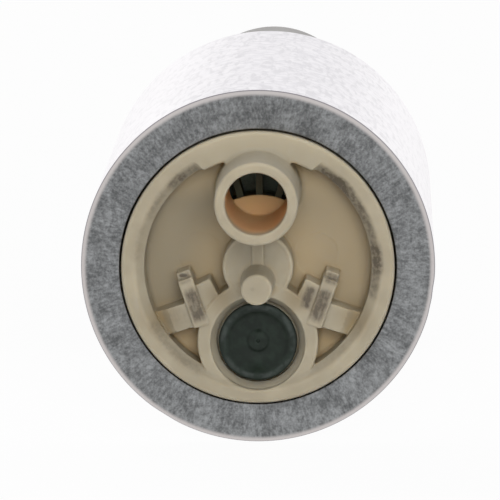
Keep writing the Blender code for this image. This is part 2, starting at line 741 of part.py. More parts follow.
def cover_cutters():
    """What is cut from the cover: bore, kidney port, flow channel, valve well, stem bore and pockets."""
    past = COVER_BACK + OVERCUT
    web_front = COVER_BACK - INLET_WEB
    tube_centre = (0.0, TUBE_HEIGHT)
    valve_centre = (0.0, -VALVE_DROP)
    stem_bore = VALVE_STEM_RADIUS + FIT_GAP
    port_pitch = (stem_bore + VALVE_POCKET_RADIUS) / 2
    pocket_front = VALVE_SEAT_STATION + VALVE_WEB
    cutters = [
        rod("bore", TUBE_BORE_RADIUS, -TUBE_PROUD - OVERCUT, web_front, "cream_plastic", tube_centre, MEDIUM),
        sector(
            "port", VANE_INNER_RADIUS + PORT_INSET, TUBE_HEIGHT + TUBE_BORE_RADIUS,
            -PORT_HALF_ANGLE, PORT_HALF_ANGLE, web_front - THIN_OVERCUT, past, "cream_plastic",
        ),
        sector(
            "channel", VANE_INNER_RADIUS, VANE_OUTER_RADIUS, CHANNEL_START, CHANNEL_END,
            COVER_BACK - CHANNEL_DEPTH, past, "cream_plastic", CHANNEL_STEPS,
        ),
        valve_well(),
        rod("stem_bore", stem_bore, 0.0, past, "cream_plastic", valve_centre, SMALL),
        rod("spring_pocket", VALVE_POCKET_RADIUS, pocket_front, past, "cream_plastic", valve_centre),
        rod(
            "button_pocket", THRUST_BUTTON_RADIUS + FIT_GAP, BUTTON_FRONT - SEAT_GAP, past,
            "cream_plastic", segments=COARSE,
        ),
    ]
    for i in range(VALVE_PORT_COUNT):
        x, z = polar(port_pitch, VALVE_PORT_TURN + 2 * math.pi * i / VALVE_PORT_COUNT)
        centre = (x, z - VALVE_DROP)
        cutters.append(rod(f"valve_port_{i}", VALVE_PORT_RADIUS, 0.0, past, "cream_plastic", centre, SMALL))
    return cutters


def make_inlet_cover():
    """One moulding: everything that is cream in the recess, ring and tube."""
    top_segment = sector(
        "top_segment", RING_RADIUS - TOP_SEGMENT_WIDTH, RING_RADIUS - RING_CROWN / 2,
        -TOP_SEGMENT_HALF_ANGLE, TOP_SEGMENT_HALF_ANGLE,
        TOP_SEGMENT_DROP - RING_PROUD, RECESS_DEPTH + OVERCUT, "cream_plastic", ARC_STEPS,
    )
    shapes = [inlet_tube(), *cover_lobe_and_pin(), cover_boss(), top_segment]
    shapes += cover_clip(-1) + cover_clip(1)
    cover = joined(cover_base(), shapes, "cream_plastic")
    return cut(cover, cover_cutters(), "cream_plastic")


def make_relief_valve():
    """A black dished head with a raised centre, on a stem that passes through the cover's web."""
    front = VALVE_HEAD_FRONT
    dish = front + VALVE_DISH_DEPTH
    head_back = VALVE_SEAT_STATION - SEAT_GAP
    dish_radius = VALVE_HEAD_RADIUS - VALVE_LIP_WIDTH
    points = [
        (0.0, dish - VALVE_CENTRE_RISE),
        (VALVE_CENTRE_RADIUS, dish - VALVE_CENTRE_RISE / 2),
        (VALVE_CENTRE_RADIUS + MOULDED_EDGE, dish),
        ((VALVE_CENTRE_RADIUS + dish_radius) / 2, dish - VALVE_DISH_DEPTH / 4),
        (dish_radius, front + VALVE_DISH_DEPTH / 4),
        (dish_radius + VALVE_LIP_WIDTH / 2, front),
        (VALVE_HEAD_RADIUS, front + VALVE_DISH_DEPTH / 4),
        (VALVE_HEAD_RADIUS - MOULDED_EDGE, head_back),
        (VALVE_STEM_RADIUS, head_back),
        (VALVE_STEM_RADIUS, RETAINER_BACK),
        (0.0, RETAINER_BACK),
    ]
    return turned("relief_valve", points, "black_rubber", (0.0, -VALVE_DROP), MEDIUM)


def make_relief_retainer():
    inner = VALVE_STEM_RADIUS + FIT_GAP
    outer = VALVE_POCKET_RADIUS - SEAT_GAP
    return tube(
        "relief_valve_retainer", inner, outer, RETAINER_FRONT, RETAINER_BACK,
        "bright_steel", (0.0, -VALVE_DROP), COARSE,
    )


def make_relief_spring():
    radius = (VALVE_STEM_RADIUS + VALVE_POCKET_RADIUS) / 2
    front = VALVE_SEAT_STATION + VALVE_WEB + SEAT_GAP
    back = RETAINER_FRONT - SEAT_GAP
    centre = (0.0, -VALVE_DROP)
    return coil_spring("relief_valve_spring", centre, radius, RELIEF_WIRE, RELIEF_TURNS, front, back)


def make_thrust_button():
    return rod("thrust_button", THRUST_BUTTON_RADIUS, BUTTON_FRONT, BUTTON_BACK, "bright_steel")


def make_impeller():
    """A disc with a ring of straight pockets, whose walls between them are the vanes."""
    bore = SHAFT_RADIUS + FIT_GAP
    disc = tube("impeller", bore, IMPELLER_RADIUS, IMPELLER_FRONT, IMPELLER_BACK, "brown_plastic", segments=FINE)
    pitch = 2 * math.pi / VANE_COUNT
    pockets = []
    for i in range(VANE_COUNT):
        middle = pitch * (i + 0.5)
        outline = []
        for radius, turns in ((VANE_OUTER_RADIUS, (-1, 0, 1)), (VANE_INNER_RADIUS, (1, -1))):
            half = pitch / 2 - math.asin(VANE_THICKNESS / 2 / radius)
            outline += [polar(radius, middle + turn * half) for turn in turns]
        front = IMPELLER_FRONT - OVERCUT
        pockets.append(prism(f"pocket_{i}", outline, front, IMPELLER_BACK + OVERCUT, "brown_plastic"))
    return cut(disc, pockets, "brown_plastic")


def make_pump_chamber():
    """The plate behind the impeller, with the wall around it, a flow channel and a bearing hub."""
    web = CHAMBER_FACE + SHAFT_WEB
    bearing_bore = LOWER_BEARING_RADIUS + FIT_GAP
    points = [
        (SHAFT_RADIUS + SEAT_GAP, CHAMBER_FACE),
        (POCKET_RADIUS, CHAMBER_FACE),
        (POCKET_RADIUS, CHAMBER_FRONT),
        (FLANGE_RADIUS, CHAMBER_FRONT),
        (FLANGE_RADIUS, CHAMBER_BACK),
        (CHAMBER_HUB_RADIUS, CHAMBER_BACK),
        (CHAMBER_HUB_RADIUS, CHAMBER_HUB_BACK),
        (bearing_bore, CHAMBER_HUB_BACK),
        (bearing_bore, web),
        (SHAFT_RADIUS + SEAT_GAP, web),
    ]
    plate = turned("pump_chamber", points, "cast_aluminium")
    channel = sector(
        "channel", VANE_INNER_RADIUS, VANE_OUTER_RADIUS, CHANNEL_START, CHANNEL_END,
        CHAMBER_FACE - THIN_OVERCUT, CHAMBER_FACE + CHANNEL_DEPTH, "cast_aluminium", CHANNEL_STEPS,
    )
    centre = polar((VANE_INNER_RADIUS + VANE_OUTER_RADIUS) / 2, CHAMBER_PORT_ANGLE)
    port = rod(
        "port", CHAMBER_PORT_RADIUS, CHAMBER_FACE - OVERCUT, CHAMBER_BACK + OVERCUT,
        "cast_aluminium", centre, SMALL,
    )
    return cut(plate, [channel, port], "cast_aluminium")


def make_bearing(name, radius, front, back):
    return tube(name, SHAFT_RADIUS + RUN_GAP, radius, front, back, "bronze", segments=COARSE)


def make_flux_ring():
    front = CHAMBER_BACK + SEAT_GAP
    back = SLEEVE_FRONT - SEAT_GAP
    return tube("flux_ring", FLUX_RING_BORE, FLANGE_RADIUS, front, back, "zinc_steel")


def make_magnet(name, middle):
    return sector(
        name, MAGNET_INNER_RADIUS, MAGNET_OUTER_RADIUS, middle - MAGNET_HALF_ANGLE,
        middle + MAGNET_HALF_ANGLE, CORE_FRONT - MAGNET_OVERHANG, CORE_BACK + MAGNET_OVERHANG,
        "ferrite", ARC_STEPS,
    )


def make_magnet_clip(name, middle):
    """A folded spring sheet that holds the two magnets apart."""
    half = math.pi / 2 - MAGNET_HALF_ANGLE - SEAT_GAP / MAGNET_OUTER_RADIUS
    leg_inner = MAGNET_OUTER_RADIUS - CLIP_SHEET - CLIP_LEG
    back_inner = MAGNET_OUTER_RADIUS - CLIP_SHEET
    inside = half - CLIP_SHEET / back_inner
    outline = arc(MAGNET_OUTER_RADIUS, middle - half, middle + half, CLIP_STEPS)
    outline += [polar(leg_inner, middle + half), polar(leg_inner, middle + inside)]
    outline += arc(back_inner, middle + inside, middle - inside, CLIP_STEPS)
    outline += [polar(leg_inner, middle - inside), polar(leg_inner, middle - half)]
    centre = (CORE_FRONT + CORE_BACK) / 2
    return prism(name, outline, centre - CLIP_LENGTH / 2, centre + CLIP_LENGTH / 2, "spring_steel")


def make_rotor_shaft():
    return rod("rotor_shaft", SHAFT_RADIUS, SHAFT_FRONT, SHAFT_BACK, "bright_steel", edge=SHAFT_CHAMFER)


def tooth_outline(middle):
    """One tooth of the armature, from its root on one side over its shoe to the other root."""
    pitch = 2 * math.pi / SLOT_COUNT
    shoe = pitch / 2 - SLOT_OPENING / 2 / CORE_RADIUS
    neck_radius = CORE_RADIUS - TOOTH_SHOE
    along_tooth = Vector(polar(1.0, middle))
    across = Vector((along_tooth.y, -along_tooth.x)) * TOOTH_HALF_WIDTH
    side = [
        tuple(along_tooth * radius - across) for radius in (SLOT_BOTTOM_RADIUS, neck_radius)
    ]
    other = [
        tuple(along_tooth * radius + across) for radius in (neck_radius, SLOT_BOTTOM_RADIUS)
    ]
    shoe_points = arc(CORE_RADIUS, middle - shoe, middle + shoe, SHOE_STEPS)
    return (
        side + [polar(neck_radius, middle - shoe)] + shoe_points + [polar(neck_radius, middle + shoe)] + other
    )


def make_armature_core():
    outline = []
    for i in range(SLOT_COUNT):
        outline += tooth_outline(2 * math.pi * i / SLOT_COUNT)
    core = prism("armature_core", outline, CORE_FRONT, CORE_BACK, "zinc_steel")
    bore = rod("bore", SHAFT_RADIUS + FIT_GAP, CORE_FRONT - OVERCUT, CORE_BACK + OVERCUT, "zinc_steel")
    return cut(core, [bore], "zinc_steel")


def make_armature_winding():
    """End turns in front of and behind the core, joined by the coil sides that fill its slots."""
    half_pitch = math.pi / SLOT_COUNT
    inner = SLOT_BOTTOM_RADIUS + 2 * SEAT_GAP
    outer = CORE_RADIUS - TOOTH_SHOE - 2 * SEAT_GAP
    front_start = CORE_FRONT - SEAT_GAP - FRONT_TURNS
    rear_end = CORE_BACK + SEAT_GAP + REAR_TURNS
    edge = WINDING_CHAMFER

    def end_turns(name, front, back, front_edge, back_edge):
        points = [
            (WINDING_INNER_RADIUS, front),
            (outer - front_edge, front),
            (outer, front + front_edge),
            (outer, back - back_edge),
            (outer - back_edge, back),
            (WINDING_INNER_RADIUS, back),
        ]
        return turned(name, points, "copper", segments=COARSE)

    front_turns = end_turns("armature_winding", front_start, CORE_FRONT - SEAT_GAP, edge, SEAT_GAP)
    rear_turns = end_turns("rear_turns", CORE_BACK + SEAT_GAP, rear_end, SEAT_GAP, edge)
    shapes = [rear_turns]
    for i in range(SLOT_COUNT):
        middle = 2 * math.pi * (i + 0.5) / SLOT_COUNT
        out = Vector(polar(1.0, middle))
        side = Vector((out.y, -out.x))
        corners = []
        for radius, turns in ((outer - SEAT_GAP, (-1, 1)), (inner, (1, -1))):
            reach = radius * math.sin(half_pitch) - TOOTH_HALF_WIDTH - SEAT_GAP
            half = reach / math.cos(half_pitch)
            corners += [tuple(out * radius + side * half * turn) for turn in turns]
        front = CORE_FRONT - FRONT_TURNS / 2
        shapes.append(prism(f"coil_{i}", corners, front, CORE_BACK + REAR_TURNS / 2, "copper"))
    return joined(front_turns, shapes, "copper")


def make_commutator():
    """A flat-faced commutator: a disc whose rear face is split into copper segments."""
    disc = tube(
        "commutator", SHAFT_RADIUS + FIT_GAP, COMMUTATOR_RADIUS, COMMUTATOR_FRONT,
        COMMUTATOR_BACK, "copper",
    )
    slots = []
    for i in range(SLOT_COUNT):
        angle = 2 * math.pi * (i + 0.5) / SLOT_COUNT
        out = Vector(polar(1.0, angle))
        side = Vector((out.y, -out.x)) * COMMUTATOR_SLOT / 2
        inner = out * SHAFT_RADIUS * 2
        outer = out * (COMMUTATOR_RADIUS + OVERCUT)
        outline = [tuple(inner - side), tuple(outer - side), tuple(outer + side), tuple(inner + side)]
        front = COMMUTATOR_BACK - COMMUTATOR_SLOT_DEPTH
        slots.append(prism(f"slot_{i}", outline, front, COMMUTATOR_BACK + OVERCUT, "copper"))
    return cut(disc, slots, "copper")


def make_brush_holder():
    """A plate inside the outlet cover with the rear bearing's hub and the two brush tunnels."""
    holder = rod("brush_holder", PLATE_RADIUS, HOLDER_FRONT, HOLDER_BACK, "brown_plastic", segments=MEDIUM)
    inside = HOLDER_FRONT + HOLDER_PLATE / 2
    hub = rod("hub", HOLDER_HUB_RADIUS, TUNNEL_FRONT, inside, "brown_plastic")
    shapes = [hub]
    bearing_bore = UPPER_BEARING_RADIUS + FIT_GAP
    seat = UPPER_BEARING_BACK + SEAT_GAP
    cutters = [
        rod("bearing_bore", bearing_bore, TUNNEL_FRONT - OVERCUT, seat, "brown_plastic"),
        rod(
            "shaft_room", SHAFT_RADIUS + SHAFT_ROOM_GAP, seat - OVERCUT, seat + SHAFT_ROOM_DEPTH,
            "brown_plastic", segments=SMALL,
        ),
        rod(
            "fuel_way", FUEL_WAY_RADIUS, HOLDER_FRONT - OVERCUT, HOLDER_BACK + OVERCUT,
            "brown_plastic", (0.0, FUEL_WAY_LIFT),
        ),
    ]
    half_width = BRUSH_WIDTH / 2 + SLIDE_GAP
    half_height = BRUSH_HEIGHT / 2 + SLIDE_GAP
    for side in (-1, 1):
        centre = side * BRUSH_OFFSET
        low = (centre - half_width - TUNNEL_WALL, -half_height - TUNNEL_WALL)
        high = (centre + half_width + TUNNEL_WALL, half_height + TUNNEL_WALL)
        shapes.append(box(f"tunnel_{side}", low, high, TUNNEL_FRONT, inside, "brown_plastic"))
        low = (centre - half_width, -half_height)
        high = (centre + half_width, half_height)
        cutters.append(
            box(f"way_{side}", low, high, TUNNEL_FRONT - OVERCUT, HOLDER_FRONT + FIT_GAP, "brown_plastic")
        )
        low = (centre - LEAD_SLOT / 2, -half_height - TUNNEL_WALL - OVERCUT)
        high = (centre + LEAD_SLOT / 2, -half_height + OVERCUT)
        cutters.append(
            box(f"lead_way_{side}", low, high, TUNNEL_FRONT - OVERCUT, BRUSH_BACK, "brown_plastic")
        )
        x = side * BLADE_OFFSET
        low = (x - BLADE_THICKNESS / 2 - SLIDE_GAP, -SHROUD_DROP - BLADE_WIDTH / 2 - SLIDE_GAP)
        high = (x + BLADE_THICKNESS / 2 + SLIDE_GAP, -SHROUD_DROP + BLADE_WIDTH / 2 + SLIDE_GAP)
        cutters.append(
            box(f"blade_way_{side}", low, high, HOLDER_FRONT - OVERCUT, HOLDER_BACK + OVERCUT, "brown_plastic")
        )
    holder = joined(holder, shapes, "brown_plastic")
    return cut(holder, cutters, "brown_plastic")


def make_brush(name, side):
    centre = side * BRUSH_OFFSET
    low = (centre - BRUSH_WIDTH / 2, -BRUSH_HEIGHT / 2)
    high = (centre + BRUSH_WIDTH / 2, BRUSH_HEIGHT / 2)
    return box(name, low, high, BRUSH_FRONT, BRUSH_BACK, "carbon")


def make_brush_spring(name, side):
    return coil_spring(
        name, (side * BRUSH_OFFSET, 0.0), BRUSH_SPRING_RADIUS, BRUSH_SPRING_WIRE,
        BRUSH_SPRING_TURNS, BRUSH_BACK + SEAT_GAP, HOLDER_FRONT - SEAT_GAP,
    )


def choke_stations():
    """Front and back stations of a choke, which ends just in front of the terminal's foot."""
    back = HOLDER_FRONT - 2 * SEAT_GAP - FOOT_THICKNESS
    return back - CHOKE_LENGTH, back


def make_choke(name, side):
    """A ferrite rod with a close copper coil, whose turns show as ribs."""
    front, back = choke_stations()
    rib = (back - front) / CHOKE_RIBS
    root = CHOKE_RADIUS - CHOKE_RIB_DEPTH
    points = [(0.0, front)]
    for i in range(CHOKE_RIBS):
        points += [(root, front + rib * i), (CHOKE_RADIUS, front + rib * (i + 0.5))]
    points += [(root, back), (0.0, back)]
    x, z = polar(CHOKE_REACH, side * CHOKE_ANGLE)
    return turned(name, points, "copper", (x, z), SMALL)


def make_brush_lead(name, side):
    """The soft copper lead from a choke's front end to the underside of its brush."""
    front, _ = choke_stations()
    x, z = polar(CHOKE_REACH, CHOKE_ANGLE)
    low = -BRUSH_HEIGHT / 2 - SEAT_GAP
    turn = TUNNEL_FRONT - LEAD_SLOT / 2
    knots = [
        (x, front - SEAT_GAP, z),
        (x - LEAD_SLOT / 3, turn, z + LEAD_SLOT / 2),
        ((x + BRUSH_OFFSET) / 2, turn, (z + low) / 2),
        (BRUSH_OFFSET + LEAD_SLOT / 4, TUNNEL_FRONT, low - TUNNEL_WALL - LEAD_SLOT / 2),
        (BRUSH_OFFSET, TUNNEL_FRONT + LEAD_SLOT, low),
    ]
    knots = [(side * a, b, c) for a, b, c in knots]
    return wire(name, smooth_route(knots, LEAD_STEPS), LEAD_RADIUS, "copper")


def make_outlet_seal():
    """The round-section ring in the outlet cover's groove."""
    radius = CAN_BORE - OUTLET_SEAL_SQUEEZE_GAP - OUTLET_SEAL_RADIUS
    station = FLANGE_BACK - OUTLET_SEAL_SETBACK
    points = []
    for i in range(SEAL_SIDES):
        across, forward = polar(OUTLET_SEAL_RADIUS, 2 * math.pi * i / SEAL_SIDES)
        points.append((radius + across, station + forward))
    return turned("outlet_seal", points, "black_rubber", segments=MEDIUM)


def outlet_cover_base():
    """The sleeve inside the can, with the seal's groove, and the dome through the rear lip."""
    seal = FLANGE_BACK - OUTLET_SEAL_SETBACK
    groove_radius = CAN_BORE - OUTLET_SEAL_SQUEEZE_GAP - 2 * OUTLET_SEAL_RADIUS - SEAT_GAP
    half_groove = OUTLET_SEAL_RADIUS + SEAT_GAP
    points = [
        (0.0, DOME_BACK),
        (0.0, WALL_FRONT),
        (COVER_BORE, WALL_FRONT),
        (COVER_BORE, SLEEVE_FRONT),
        (FLANGE_RADIUS, SLEEVE_FRONT),
        (FLANGE_RADIUS, seal - half_groove),
        (groove_radius, seal - half_groove),
        (groove_radius, seal + half_groove),
        (FLANGE_RADIUS, seal + half_groove),
        (FLANGE_RADIUS, FLANGE_BACK),
        (DOME_RADIUS, FLANGE_BACK),
        (DOME_RADIUS, DOME_BACK, DOME_EDGE),
    ]
    return turned("outlet_cover", points, "grey_plastic", segments=FINE, phase=0.0)


def outlet_turret():
    """The round end that holds the check valve, and the barbed spigot on it."""
    foot = WALL_FRONT + END_WALL / 2
    barb_top = SPIGOT_BACK - BARB_SETBACK
    points = [
        (0.0, foot),
        (TURRET_RADIUS, foot),
        (TURRET_RADIUS, TURRET_BACK, TURRET_EDGE),
        (SPIGOT_RADIUS, TURRET_BACK),
        (SPIGOT_RADIUS, barb_top - BARB_LENGTH),
        (SPIGOT_RADIUS + BARB_HEIGHT, barb_top - BARB_LENGTH),
        (SPIGOT_RADIUS, barb_top),
        (SPIGOT_RADIUS, SPIGOT_BACK, MOULDED_EDGE),
        (0.0, SPIGOT_BACK),
    ]
    return turned("turret", points, "grey_plastic", (0.0, TURRET_LIFT), MEDIUM)


def make_outlet_cover():
    """One moulding: sleeve, dome, turret with spigot, and the connector's shroud."""
    shroud_back = DOME_BACK + SHROUD_LENGTH
    low = (-SHROUD_WIDTH / 2, -SHROUD_DROP - SHROUD_HEIGHT / 2)
    high = (SHROUD_WIDTH / 2, -SHROUD_DROP + SHROUD_HEIGHT / 2)
    foot = WALL_FRONT + END_WALL / 2
    shroud = box("shroud", low, high, foot, shroud_back, "grey_plastic")
    cover = joined(outlet_cover_base(), [outlet_turret(), shroud], "grey_plastic")
    centre = (0.0, TURRET_LIFT)
    low = (low[0] + SHROUD_WALL, low[1] + SHROUD_WALL)
    high = (high[0] - SHROUD_WALL, high[1] - SHROUD_WALL)
    cutters = [
        rod("cavity", CAVITY_RADIUS, WALL_FRONT - OVERCUT, CAVITY_BACK, "grey_plastic", centre, MEDIUM),
        rod("check_room", CHECK_CHAMBER_RADIUS, CAVITY_BACK - OVERCUT, CHAMBER_END, "grey_plastic", centre),
        rod(
            "spigot_bore", SPIGOT_BORE_RADIUS, CHAMBER_END - OVERCUT, SPIGOT_BACK + OVERCUT,
            "grey_plastic", centre, SMALL,
        ),
        box("socket", low, high, DOME_BACK, shroud_back + OVERCUT, "grey_plastic"),
    ]
    for side in (-1, 1):
        x = side * BLADE_OFFSET
        low = (x - BLADE_THICKNESS / 2 - SLIDE_GAP, -SHROUD_DROP - BLADE_WIDTH / 2 - SLIDE_GAP)
        high = (x + BLADE_THICKNESS / 2 + SLIDE_GAP, -SHROUD_DROP + BLADE_WIDTH / 2 + SLIDE_GAP)
        cutters.append(
            box(f"blade_way_{side}", low, high, WALL_FRONT - OVERCUT, DOME_BACK + OVERCUT, "grey_plastic")
        )
    return cut(cover, cutters, "grey_plastic")


def make_check_seat():
    outer = CAVITY_RADIUS - SEAT_GAP
    front = SEAT_RING_BACK - SEAT_RING_THICKNESS
    return tube(
        "check_valve_seat", SEAT_RING_BORE, outer, front, SEAT_RING_BACK,
        "brown_plastic", (0.0, TURRET_LIFT),
    )


def make_check_valve():
    """A poppet whose head covers the seat's bore, with a stem that guides its spring."""
    back = CHECK_FRONT + CHECK_HEAD_THICKNESS
    points = [
        (0.0, CHECK_FRONT),
        (CHECK_HEAD_RADIUS, CHECK_FRONT, MOULDED_EDGE),
        (CHECK_HEAD_RADIUS, back, MOULDED_EDGE),
        (CHECK_STEM_RADIUS, back),
        (CHECK_STEM_RADIUS, back + CHECK_STEM_LENGTH, MOULDED_EDGE),
        (0.0, back + CHECK_STEM_LENGTH),
    ]
    return turned("check_valve", points, "black_rubber", (0.0, TURRET_LIFT), COARSE)


def make_check_spring():
    front = CHECK_FRONT + CHECK_HEAD_THICKNESS + SEAT_GAP
    return coil_spring(
        "check_valve_spring", (0.0, TURRET_LIFT), CHECK_SPRING_RADIUS, CHECK_SPRING_WIRE,
        CHECK_SPRING_TURNS, front, CHAMBER_END - SEAT_GAP,
    )


def make_terminal(name, side):
    """A flat blade in the connector's socket, with a foot that reaches to its choke."""
    x = side * BLADE_OFFSET
    foot_back = HOLDER_FRONT - SEAT_GAP
    foot_front = foot_back - FOOT_THICKNESS
    blade_back = DOME_BACK + SHROUD_LENGTH - BLADE_SETBACK
    low = (x - BLADE_THICKNESS / 2, -SHROUD_DROP - BLADE_WIDTH / 2)
    high = (x + BLADE_THICKNESS / 2, -SHROUD_DROP + BLADE_WIDTH / 2)
    blade = box(name, low, high, foot_front, blade_back, "tinned_brass")
    near = x - side * BLADE_THICKNESS / 4
    choke_x, choke_z = polar(CHOKE_REACH, side * CHOKE_ANGLE)
    far = choke_x + side * CHOKE_RADIUS / 2
    middle = (choke_z - SHROUD_DROP) / 2
    low = (min(near, far), middle - FOOT_WIDTH / 2)
    high = (max(near, far), middle + FOOT_WIDTH / 2)
    foot = box(f"foot_{side}", low, high, foot_front, foot_back, "tinned_brass")
    return joined(blade, [foot], "tinned_brass")


def group(name, place, members):
    """Parents the members to an empty that stands on their joint's axis."""
    holder = bpy.data.objects.new(name, None)
    holder.location = place
    bpy.context.scene.collection.objects.link(holder)
    for member in members:
        member.parent = holder
        member.location = member.location - Vector(place)


def make_rotor():
    members = [
        make_rotor_shaft(),
        make_impeller(),
        make_armature_core(),
        make_armature_winding(),
        make_commutator(),
    ]
    group("rotor_axis", (0.0, 0.0, 0.0), members)


def make_turbine_stage():
    make_thrust_button()
    make_pump_chamber()
    front = CHAMBER_FACE + SHAFT_WEB + SEAT_GAP
    make_bearing("lower_bearing", LOWER_BEARING_RADIUS, front, CHAMBER_HUB_BACK - SEAT_GAP)


def make_motor_frame():
    make_flux_ring()
    make_magnet("magnet_right", math.pi / 2)
    make_magnet("magnet_left", -math.pi / 2)
    make_magnet_clip("magnet_clip_top", 0.0)
    make_magnet_clip("magnet_clip_bottom", math.pi)
    make_bearing("upper_bearing", UPPER_BEARING_RADIUS, UPPER_BEARING_FRONT, UPPER_BEARING_BACK)


def make_brush_gear():
    make_brush_holder()
    for name, side in (("left", -1), ("right", 1)):
        brush = make_brush(f"brush_{name}", side)
        group(f"brush_{name}_axis", (side * BRUSH_OFFSET, along(BRUSH_BACK), 0.0), [brush])
        make_brush_spring(f"brush_spring_{name}", side)
        make_brush_lead(f"brush_lead_{name}", side)
        make_choke(f"choke_{name}", side)
    make_terminal("terminal_negative", -1)
    make_terminal("terminal_positive", 1)


def make_valves():
    relief = [make_relief_valve(), make_relief_retainer()]
    group("relief_valve_axis", (0.0, along(VALVE_SEAT_STATION), -VALVE_DROP), relief)
    make_relief_spring()
    group("check_valve_axis", (0.0, along(CHECK_FRONT), TURRET_LIFT), [make_check_valve()])
    make_check_spring()
    make_check_seat()


def main():
    clear_scene()
    make_pump_shell()
    make_inlet_seal()
    make_inlet_cover()
    make_turbine_stage()
    make_rotor()
    make_motor_frame()
    make_brush_gear()
    make_outlet_cover()
    make_outlet_seal()
    make_valves()


main()
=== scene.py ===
"""The visible pieces, finishes and studio of an electric fuel pump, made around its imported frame.

The pump's axis lies along Y and its inlet end faces -Y. A station is a distance behind the can's
front rim. Shapes are worked out in millimetres and put into their meshes in metres.
"""

import math

import bpy
import numpy as np
from bpy.props import FloatProperty, FloatVectorProperty, IntProperty, PointerProperty
from mathutils import Matrix, Vector


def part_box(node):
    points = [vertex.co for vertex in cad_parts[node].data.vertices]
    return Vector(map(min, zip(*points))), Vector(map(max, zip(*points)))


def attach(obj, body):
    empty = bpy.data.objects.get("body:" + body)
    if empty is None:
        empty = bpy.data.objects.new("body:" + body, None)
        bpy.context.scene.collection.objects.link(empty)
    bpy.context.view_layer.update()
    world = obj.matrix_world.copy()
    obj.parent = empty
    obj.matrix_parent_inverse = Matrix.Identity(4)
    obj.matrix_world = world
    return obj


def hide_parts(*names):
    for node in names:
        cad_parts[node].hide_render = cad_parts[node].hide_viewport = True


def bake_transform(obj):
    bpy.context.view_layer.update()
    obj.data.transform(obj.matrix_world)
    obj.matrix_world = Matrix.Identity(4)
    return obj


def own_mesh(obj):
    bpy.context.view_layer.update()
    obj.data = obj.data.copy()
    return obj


bl_info = {
    "name": "Electric Fuel Pump",
    "version": (1, 0, 0),
    "blender": (4, 5, 0),
    "location": "3D View > Sidebar > Fuel Pump",
    "description": "Makes the pump's visible pieces, their finishes and a small studio",
    "category": "Add Mesh",
}

MM = 0.001
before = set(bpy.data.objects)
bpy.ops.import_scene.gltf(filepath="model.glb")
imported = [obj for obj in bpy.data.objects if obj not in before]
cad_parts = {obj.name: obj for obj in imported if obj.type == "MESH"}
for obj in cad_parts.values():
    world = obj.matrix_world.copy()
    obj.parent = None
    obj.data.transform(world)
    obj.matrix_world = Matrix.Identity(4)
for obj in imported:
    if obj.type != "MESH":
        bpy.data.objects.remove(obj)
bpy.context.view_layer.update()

SHELL_LOW, SHELL_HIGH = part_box("pump_shell")
CAN_RADIUS = SHELL_HIGH.x / MM
CAN_FRONT = SHELL_LOW.y / MM
CAN_LENGTH = (SHELL_HIGH.y - SHELL_LOW.y) / MM
CAN_WALL = 1.2
CLEARANCE = 0.3  # room between the can and a cover
FRONT_RIM_WIDTH, REAR_RIM_WIDTH = 4.16, 2.0
COVER_GAP = 0.18
FLANGE_RADIUS = CAN_RADIUS - CAN_WALL - CLEARANCE
FRONT_LIP_RADIUS = CAN_RADIUS - FRONT_RIM_WIDTH
REAR_LIP_RADIUS = CAN_RADIUS - REAR_RIM_WIDTH
COVER_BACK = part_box("inlet_cover")[1].y / MM - CAN_FRONT
RING_RADIUS = FRONT_LIP_RADIUS - COVER_GAP
TUBE_LIFT = 8.05
TUBE_FRONT, TUBE_BORE = -11.3, 3.29
PIN_DROP, PIN_FRONT = 1.5, -7.9
RECESS_RADIUS, RECESS_FLOOR = 12.2, 4.6
LOBE_RADIUS, BOSS_RADIUS = 3.79, 6.49
VALVE_LOW, VALVE_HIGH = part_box("relief_valve")
VALVE_DROP = -(VALVE_LOW.z + VALVE_HIGH.z) / 2 / MM
BOSS_DROP = VALVE_DROP - 0.2
CHECK_LOW, CHECK_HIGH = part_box("check_valve")
TURRET_LIFT = (CHECK_LOW.z + CHECK_HIGH.z) / 2 / MM
SPIGOT_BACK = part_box("outlet_cover")[1].y / MM - CAN_FRONT
TURRET_BACK = SPIGOT_BACK - 15.0
SHROUD_DROP = 9.5
BLADE_OFFSET = 3.6
WHITE = (1.0, 1.0, 1.0, 1.0)


# Sizes and colours that a user would change


def length(name, description, default):
    return FloatProperty(name=name, description=description, default=default * MM, unit="LENGTH")


def colour(name, description, default):
    return FloatVectorProperty(
        name=name, description=description, default=default, subtype="COLOR", min=0.0, max=1.0
    )


class PumpSizes(bpy.types.PropertyGroup):
    segments: IntProperty(name="Segments", description="Steps round a turned piece", default=256)
    can_corner: length("Can corner", "Rounding of the can's outer corners", 0.6)
    lip_edge: length("Lip edge", "Rounding of the can's inner lip edges", 0.12)
    moulded_edge: length("Moulded edge", "Rounding of the moulding's outer edges", 0.25)
    moulded_fillet: length("Moulded fillet", "Fillet where one moulded form meets another", 0.3)
    floor_fillet: length("Floor fillet", "Fillet round the recess floor", 0.45)
    cover_cell: length("Cover cell", "Mesh cell across the inlet cover", 0.2)
    outlet_cell: length("Outlet cell", "Mesh cell across the outlet cover", 0.3)
    valve_dish: length("Valve dish", "Depth of the dish in the valve's head", 1.0)


